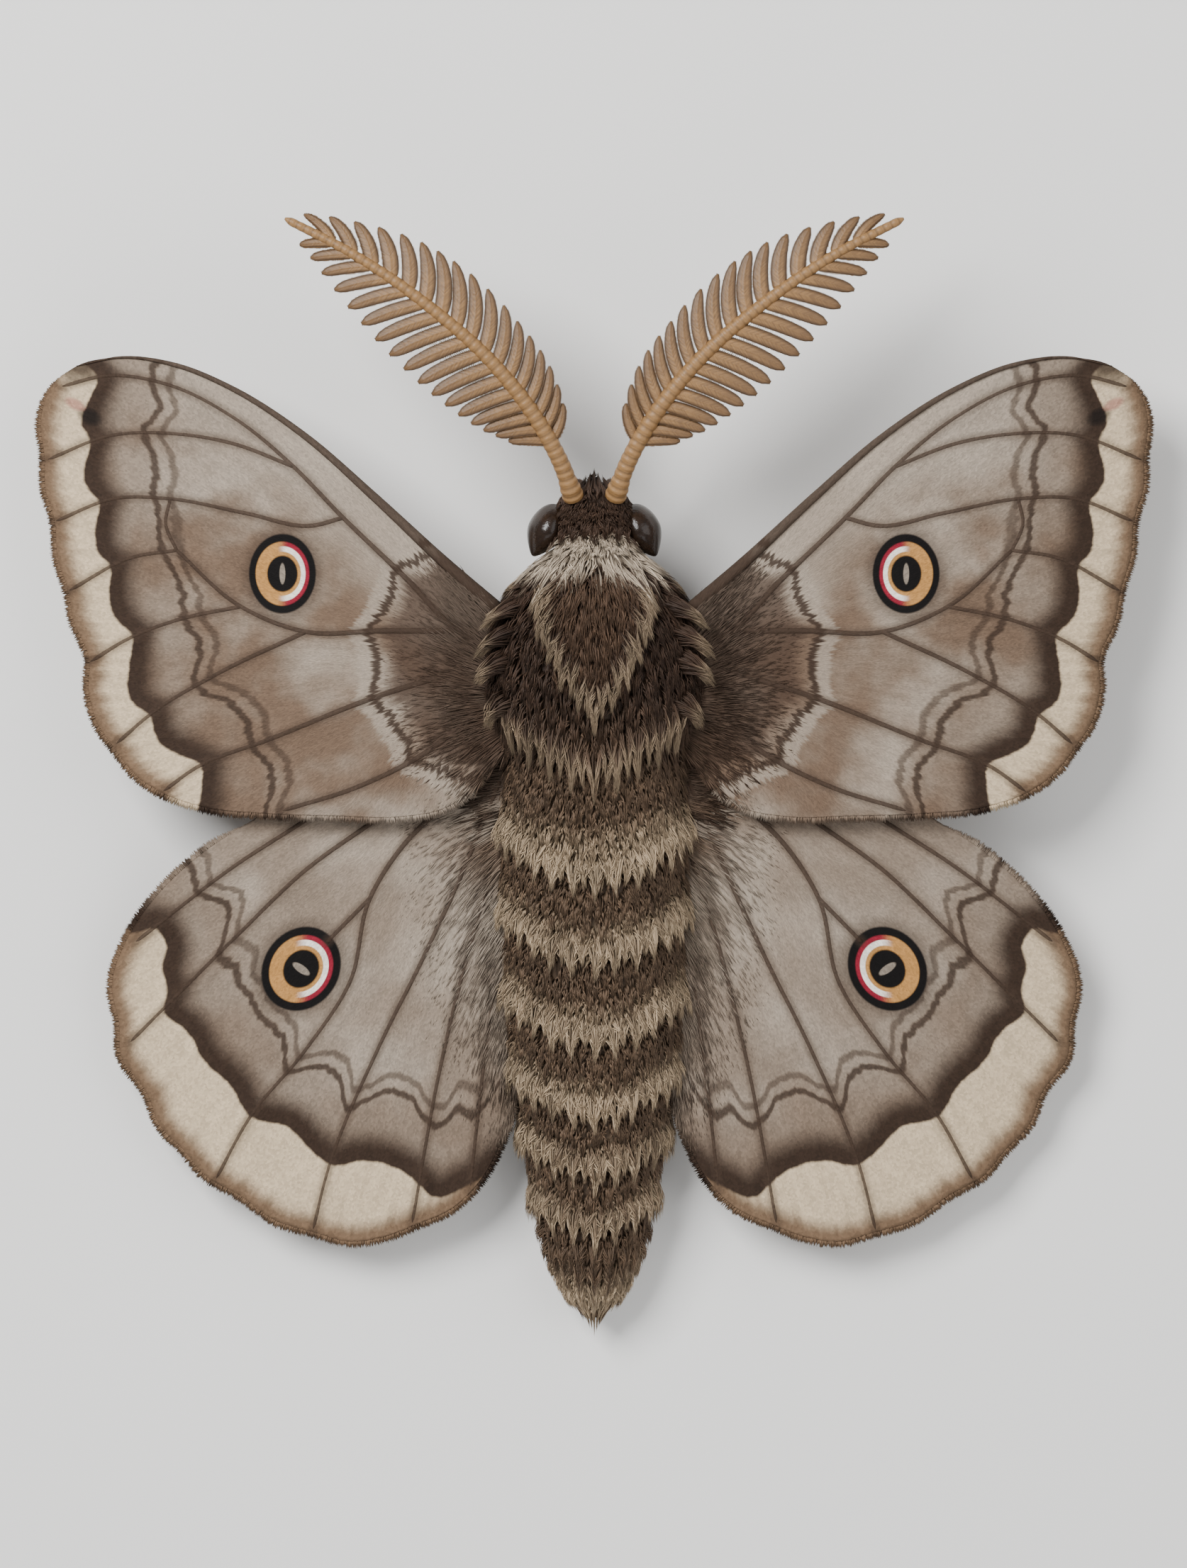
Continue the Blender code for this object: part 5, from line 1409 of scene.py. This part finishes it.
def branch_line(shaft, lengths, along, turn, row):
    """A branch of the antenna: its angle to the shaft changes evenly along it, about the row's own angle."""
    reaches, angles, bend, _ = row
    root, ahead = through(lengths, shaft, lengths[-1] * np.array([along, min(1.0, along + 0.01)]))
    forward = unit(ahead - root)
    outward = unit(np.cross(forward, (0.0, 0.0, turn)))
    t = np.linspace(0.0, 1.0, 11)
    angle = np.radians(through(BRANCH_PLACES, angles, along) + bend * (0.5 - t))[:, None]
    reach = float(through(BRANCH_PLACES, reaches, along))
    steps = (outward * np.sin(angle) + forward * np.cos(angle)) * reach / (len(t) - 1)
    line = root + np.concatenate([np.zeros((1, 3)), np.cumsum(steps[:-1], axis=0)])
    line[:, 2] -= 0.5 * t**2
    return line


def shaft_segments(along):
    """The shaft's short segments: a sine's absolute value, 1 in the middle of each and 0 in the grooves."""
    return np.abs(np.sin(pi * along / SEGMENT))


def antenna_parts(side):
    """Shaft and branches of one antenna as shapes, with the centre lines and half widths of the branches."""
    shaft = mirrored(line_through(ANTENNA, 0.15), side)
    lengths = chord_lengths(shaft)
    share = lengths / lengths[-1]
    bulb = (BULB_RADIUS, BULB_RADIUS - 0.05)
    radius = np.interp(share, (0.0, 0.03, 0.06, 0.985, 1.0), (*bulb, *SHAFT_RADII, 0.15))
    radius = radius * (1.0 + SEGMENT_BULGE * shaft_segments(lengths))
    shapes = [swept(shaft, radius, radius, 14)]
    branches = []
    shares = np.linspace(0.0, 1.0, BRANCHES)
    places = np.interp(shares * (1.0 - BRANCH_CROWDING * (1.0 - shares)), (0.0, 1.0), BRANCH_SPAN)
    for row, turn in zip(BRANCH_ROWS, (side, -side)):
        lean = np.radians(through(BRANCH_PLACES, row[1], places) + row[2] / 3)
        room = np.gradient(places) * lengths[-1] * np.sin(lean)
        for along, apart in zip(places, room):
            line = branch_line(shaft, lengths, along, turn, row)
            t = np.linspace(0.0, 1.0, len(line))
            wide = np.clip(0.5 * apart - BRANCH_GAP, *BRANCH_HALF_WIDTHS) * np.interp(t, BRANCH_STEPS, row[3])
            shapes.append(swept(line, wide, 0.16 + 0.12 * (1 - t), 12))
            branches.append((line, wide))
    return shapes, branches


def antenna_cilia(branches, length, rng):
    """Fine hairs along both edges of each branch, which lean more and shorten towards its tip."""
    centres = []
    t = np.linspace(0.06, 0.99, CILIA)
    for line, wide in branches:
        across, _ = frames_along(line)
        lengths = chord_lengths(line)
        root = through(lengths, line, t * lengths[-1])
        side = through(lengths, across, t * lengths[-1])
        heading = unit(through(lengths, np.gradient(line, axis=0), t * lengths[-1]))
        scale = np.interp(t, (0.0, 0.3, 0.8, 1.0), (0.7, 1.0, 0.7, 0.3))[:, None]
        for way in (-1.0, 1.0):
            reach = length * rng.uniform(0.7, 1.1, len(t))[:, None] * scale
            begin = root + side * way * 0.85 * np.interp(t, np.linspace(0.0, 1.0, len(wide)), wide)[:, None]
            aim = unit(side * way + heading * (0.6 + 1.6 * t[:, None] ** 2))
            centres.append(np.stack([begin, begin + aim * reach / 2, begin + aim * reach], axis=1))
    return np.concatenate(centres)


class MOTH_OT_antennae(bpy.types.Operator):
    """The two feathered antennae with the fine hairs of their branches"""

    bl_idname = "moth.antennae"
    bl_label = "Antennae"

    def execute(self, context):
        finish = antenna_paint(context.scene.moth_colours)
        rng = np.random.default_rng([context.scene.moth_coat.seed, 31])
        for side, word in SIDES:
            shapes, branches = antenna_parts(side)
            points, faces = joined(shapes)
            horn = make_piece(f"antenna_{word}_horn", points, faces, finish)
            along = np.linalg.norm(points[:, :2], axis=1)
            rows, columns = shapes[0][0].shape[:2]
            grooves = 1.0 - shaft_segments(chord_lengths(shapes[0][0].mean(axis=1)))
            out = [np.zeros(rows * columns + 2)]
            rim = [np.append(np.repeat(grooves, columns), (1.0, 1.0))]
            for rings, _, _ in shapes[1:]:
                rows, columns = rings.shape[:2]
                across = np.abs(np.cos(np.linspace(0.0, 2 * pi, columns, endpoint=False)))
                out.append(np.append(np.repeat(np.linspace(0.0, 1.0, rows), columns), (0.0, 1.0)))
                rim.append(np.append(np.tile(across, rows), (0.0, 1.0)))
            give(horn, "place", merged(along, np.concatenate(out), np.concatenate(rim)))
            give_all(horn, "coat", BARE)
            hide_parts(f"antenna_{word}")
            centres = antenna_cilia(branches, context.scene.moth_sizes.cilia / MM, rng)
            count = len(centres)
            ups = np.broadcast_to((0.0, 0.0, 1.0), centres.shape)
            root = centres[:, 0]
            place = np.column_stack([np.linalg.norm(root[:, :2], axis=1), np.full(count, 0.8), np.zeros(count)])
            branch = np.repeat(np.arange(count // CILIA), CILIA).astype(float)
            patches = unwrapped(branch, np.tile(np.arange(float(CILIA)), count // CILIA))
            hair_piece(f"antenna_{word}_cilia", centres, ups, np.full(count, CILIA_WIDTH), place,
                       rng.uniform(0.0, 1.0, count), np.zeros(count), patches, finish)
        return {"FINISHED"}


class MOTH_OT_eyes(bpy.types.Operator):
    """Domed eyes, narrowed to a leaf shape towards the back, sunk in the head"""

    bl_idname = "moth.eyes"
    bl_label = "Eyes"

    def execute(self, context):
        finish = eye_paint(context.scene.moth_colours)
        for side, word in SIDES:
            normal = unit(np.array(EYE_NORMAL)) * (side, 1.0, 1.0)
            level = unit(np.cross((0.0, 0.0, 1.0), normal)) * side
            over = unit(np.cross(normal, level)) * side
            polar = np.linspace(0.0, pi, EYE_GRID[0])[1:-1, None]
            around = np.linspace(0.0, 2 * pi, EYE_GRID[1], endpoint=False)[None, :]
            lengthways = np.sin(polar) * np.cos(around)
            taper = 1.0 - EYE_TAPER * np.clip(-lengthways, 0.0, 1.0) ** 1.7
            out, high = np.cos(polar) * taper, np.sin(polar) * np.sin(around) * taper
            seat, half = mirrored(EYE_SEAT, side), EYE_HALF
            ways = (out * half[0], lengthways * half[1], high * half[2])
            rings = seat + sum(way[..., None] * axis for way, axis in zip(ways, (normal, level, over)))
            points, faces = closed_tube(rings, seat + normal * half[0], seat - normal * half[0])
            eye = make_piece(f"eye_{word}_dome", points, faces, finish)
            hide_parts(f"eye_{word}")
        return {"FINISHED"}


def rounded(points, spacing, passes):
    """A line of even points through corners, each averaged with its neighbours a number of times."""
    points = np.asarray(points, float)
    lengths = chord_lengths(points)
    at = np.linspace(0.0, lengths[-1], round(lengths[-1] / spacing) + 1)
    line = np.stack([np.interp(at, lengths, column) for column in points.T], axis=-1)
    for _ in range(passes):
        line[1:-1] = (line[:-2] + 2 * line[1:-1] + line[2:]) / 4
    return line


class Leg:
    """One leg as a line with a radius, so that hair can be grown over it."""

    def __init__(self, points, side):
        corners = mirrored(points, side)
        marks = chord_lengths(corners)
        self.line = rounded(corners, 0.3, 6)
        self.lengths = chord_lengths(self.line)
        share = self.lengths / self.lengths[-1]
        stops = marks / marks[-1]
        radius = np.interp(share, stops, LEG_RADII)
        foot = np.clip((share - stops[3]) / (1 - stops[3]), 0.0, 1.0)
        joints = 0.10 * np.abs(np.sin(pi * TARSUS_JOINTS * foot)) * (share > stops[3])
        self.radius = radius * (0.94 + joints)
        self.stops = stops * self.lengths[-1]
        self.across, self.over = frames_along(self.line)

    def at(self, values, along):
        """Values given at the line's points, read between them at lengths along it."""
        return np.stack([np.interp(along, self.lengths, column) for column in values.T], axis=-1)

    def surface(self, along, angle, offset):
        """A point at an angle round the leg, its radius and the offset away from its line."""
        radius = np.interp(along, self.lengths, self.radius) + offset
        way = np.sin(angle)[..., None] * self.at(self.across, along)
        way = way + np.cos(angle)[..., None] * self.at(self.over, along)
        return self.at(self.line, along) + radius[..., None] * way

    def skin(self):
        """A circle of the leg's radius carried along its line."""
        return swept(self.line, self.radius, self.radius, 14)

    def claws(self):
        """Two small hooks at the toe, each a curve that bends down to the floor."""
        toe, heading = self.line[-1], unit(self.line[-1] - self.line[-4])
        aside = unit(np.cross(heading, (0.0, 0.0, 1.0)))
        shapes = []
        t = np.linspace(0.0, 1.0, 7)[:, None]
        for way in (-1.0, 1.0):
            line = toe - heading * 0.15 + heading * 0.75 * t + aside * way * (0.12 + 0.35 * t)
            line = line + np.array([0.0, 0.0, 1.0]) * (0.28 * np.sin(pi * t) - 0.27 * t**2)
            radius = CLAW_RADIUS * (1.05 - t[:, 0])
            shapes.append(swept(line, radius, radius, 6))
        return shapes


def leg_hair(leg, rng, width):
    """Locks over the thigh and shin, and short hairs over the foot."""
    parts = []
    begin, knee, ankle, end = leg.stops[0] + 1.0, leg.stops[2], leg.stops[3], leg.stops[4] - 0.6
    stretches = ((begin, knee), (knee, ankle), (ankle, end))
    for (low, high), (count, length, lift, thin) in zip(stretches, LEG_HAIRS):
        along = rng.uniform(low, high, count)
        angle = rng.uniform(-pi, pi, count)
        roots = merged(along, angle)
        reach = length * rng.uniform(0.7, 1.1, count)
        tips = merged(np.minimum(along + reach, leg.lengths[-1]), angle + rng.normal(0, 0.1, count))
        places = roots[:, None] + (tips - roots)[:, None] * SHORT_HAIR[None, :, None]
        offsets = (lift * rng.uniform(0.6, 1.1, count))[:, None] * np.sqrt(SHORT_HAIR) - 0.25 * (1 - SHORT_HAIR)
        centres = leg.surface(places[..., 0], places[..., 1], offsets)
        ups = unit(leg.surface(places[..., 0], places[..., 1], offsets + 1.0) - centres)
        parts.append((centres, ups, width * thin * rng.uniform(0.8, 1.2, count), roots))
    return [np.concatenate(column) for column in zip(*parts)]


class MOTH_OT_legs(bpy.types.Operator):
    """Six furred legs with jointed feet and claws, and the two palps under the face"""

    bl_idname = "moth.legs"
    bl_label = "Legs and palps"

    def execute(self, context):
        finish = leg_paint(context.scene.moth_colours)
        width = context.scene.moth_coat.hair_width / MM
        rng = np.random.default_rng([context.scene.moth_coat.seed, 41])
        for side, word in SIDES:
            grown, places = [], []
            for number, (label, corners) in enumerate(LEGS.items()):
                leg = Leg(corners, side)
                shapes = [leg.skin(), *leg.claws()]
                points, faces = joined(shapes)
                skin = make_piece(f"leg_{label}_{word}_skin", points, faces, finish)
                give_all(skin, "place", (0.5, 0.0, 0.0))
                give_all(skin, "coat", BARE)
                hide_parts(*(f"leg_{label}_{word}_{part}" for part in ("thigh", "shin", "foot")))
                centres, ups, widths, roots = leg_hair(leg, rng, width)
                share = roots[:, 0] / leg.lengths[-1]
                places.append(merged(share, np.abs(roots[:, 1]) / pi, np.full(len(roots), number)))
                grown.append((centres, ups, widths, merged(roots[:, 1] + LEG_ROOM * number, roots[:, 0])))
            centres, ups, widths, maps = (np.concatenate(column) for column in zip(*grown))
            tones = rng.uniform(0.0, 1.0, len(centres))
            hair_piece(f"legs_{word}_coat", centres, ups, widths, np.concatenate(places), tones, tones,
                       unwrapped(maps[:, 0], maps[:, 1]), finish)
            self.palp(side, word, finish, rng, width)
        return {"FINISHED"}

    def palp(self, side, word, finish, rng, width):
        """A short furred feeler under the face."""
        line = mirrored(line_through(PALP, 0.25), side)
        radius = np.interp(np.linspace(0, 1, len(line)), *PALP_RADII)
        points, faces = closed_tube(*swept(line, radius, radius, 12))
        skin = make_piece(f"palp_{word}_skin", points, faces, finish)
        give_all(skin, "place", (0.3, 0.0, 0.0))
        give_all(skin, "coat", BARE)
        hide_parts(f"palp_{word}")
        across, over = frames_along(line)
        count = PALP_HAIRS
        at, angle = rng.uniform(0.0, 1.0, count), rng.uniform(-pi, pi, count)
        row = np.round(at * (len(line) - 1)).astype(int)
        out = np.sin(angle)[:, None] * across[row] + np.cos(angle)[:, None] * over[row]
        heading = unit(np.gradient(line, axis=0))[row]
        root = line[row] + out * (radius[row] - 0.2)[:, None]
        reach = rng.uniform(0.45, 0.8, count)[:, None]
        aim = unit(heading + out * 0.35)
        centres = np.stack([root, root + aim * reach * 0.55, root + aim * reach], axis=1)
        ups = np.repeat(out[:, None], 3, axis=1)
        place = np.tile((0.3, 0.0, 0.0), (count, 1))
        tones = rng.uniform(0.0, 1.0, count)
        hair_piece(f"palp_{word}_coat", centres, ups, np.full(count, 0.7 * width), place, tones, tones,
                   unwrapped(angle, at), finish)


class MOTH_OT_stage(bpy.types.Operator):
    """Pale floor, soft studio light and the camera straight above"""

    bl_idname = "moth.stage"
    bl_label = "Floor, light and camera"

    def execute(self, context):
        scene = context.scene
        self.floor(scene)
        for name, place, size, power in LIGHTS:
            self.light(name, place, size, power)
        world = bpy.data.worlds.new("studio")
        world.use_nodes = True
        background = world.node_tree.nodes["Background"]
        background.inputs["Color"].default_value = WORLD_COLOUR
        background.inputs["Strength"].default_value = WORLD_STRENGTH
        scene.world = world
        self.camera(scene)
        return {"FINISHED"}

    def floor(self, scene):
        """A flat square grid under the moth."""
        x, y = np.meshgrid(*[np.linspace(-FLOOR_HALF, FLOOR_HALF, FLOOR_CELLS + 1)] * 2, indexing="ij")
        points = merged(x, y, np.zeros_like(x)).reshape(-1, 3) * MM
        mesh = bpy.data.meshes.new("floor")
        faces = grid_faces(FLOOR_CELLS + 1, FLOOR_CELLS + 1, False)[:, ::-1]
        mesh.from_pydata(points.tolist(), [], faces.tolist())
        mesh.materials.append(floor_paint(scene.moth_colours))
        floor = bpy.data.objects.new("floor", mesh)
        scene.collection.objects.link(floor)

    def light(self, name, place, size, power):
        """A square soft light that faces the moth."""
        lamp = bpy.data.lights.new(name, "AREA")
        lamp.size = size
        lamp.energy = power
        made = bpy.data.objects.new(name, lamp)
        made.location = place
        made.rotation_euler = (-made.location).to_track_quat("-Z", "Y").to_euler()
        bpy.context.scene.collection.objects.link(made)

    def camera(self, scene):
        """A long lens straight over the wings: as far off as the framed length times lens over sensor."""
        data = bpy.data.cameras.new("camera")
        data.lens, data.sensor_width = LENS, SENSOR
        data.clip_start, data.clip_end = CLIP
        made = bpy.data.objects.new("camera", data)
        made.location = (CAMERA_X, CAMERA_Y, VIEW_Z + VIEW * LENS / SENSOR)
        scene.collection.objects.link(made)
        scene.camera = made


class MOTH_PT_panel(bpy.types.Panel):
    """Lists the moth's pieces and settings"""

    bl_idname = "MOTH_PT_panel"
    bl_label = "Great Peacock Moth"
    bl_space_type = "VIEW_3D"
    bl_region_type = "UI"
    bl_category = "Moth"

    def draw(self, context):
        """A button for each operator, then every setting."""
        for operator in OPERATORS:
            self.layout.operator(operator.bl_idname)
        for name in GROUPS:
            group = getattr(context.scene, name)
            for setting in group.__annotations__:
                self.layout.prop(group, setting)


OPERATORS = (
    MOTH_OT_body, MOTH_OT_fur, MOTH_OT_wings, MOTH_OT_antennae, MOTH_OT_eyes, MOTH_OT_legs, MOTH_OT_stage,
)
GROUPS = {"moth_sizes": MothSizes, "moth_coat": MothCoat, "moth_colours": MothColours}


def register():
    """Adds the settings, operators and panel to Blender."""
    for kind in (*GROUPS.values(), *OPERATORS, MOTH_PT_panel):
        bpy.utils.register_class(kind)
    for name, group in GROUPS.items():
        setattr(bpy.types.Scene, name, bpy.props.PointerProperty(type=group))


def unregister():
    """Takes the settings, operators and panel out of Blender."""
    for name in GROUPS:
        delattr(bpy.types.Scene, name)
    for kind in (MOTH_PT_panel, *reversed(OPERATORS), *reversed(GROUPS.values())):
        bpy.utils.unregister_class(kind)


def main():
    """Builds every piece and the stage."""
    register()
    bpy.ops.moth.body()
    bpy.ops.moth.fur()
    bpy.ops.moth.wings()
    bpy.ops.moth.antennae()
    bpy.ops.moth.eyes()
    bpy.ops.moth.legs()
    bpy.ops.moth.stage()


if __name__ == "__main__":
    main()
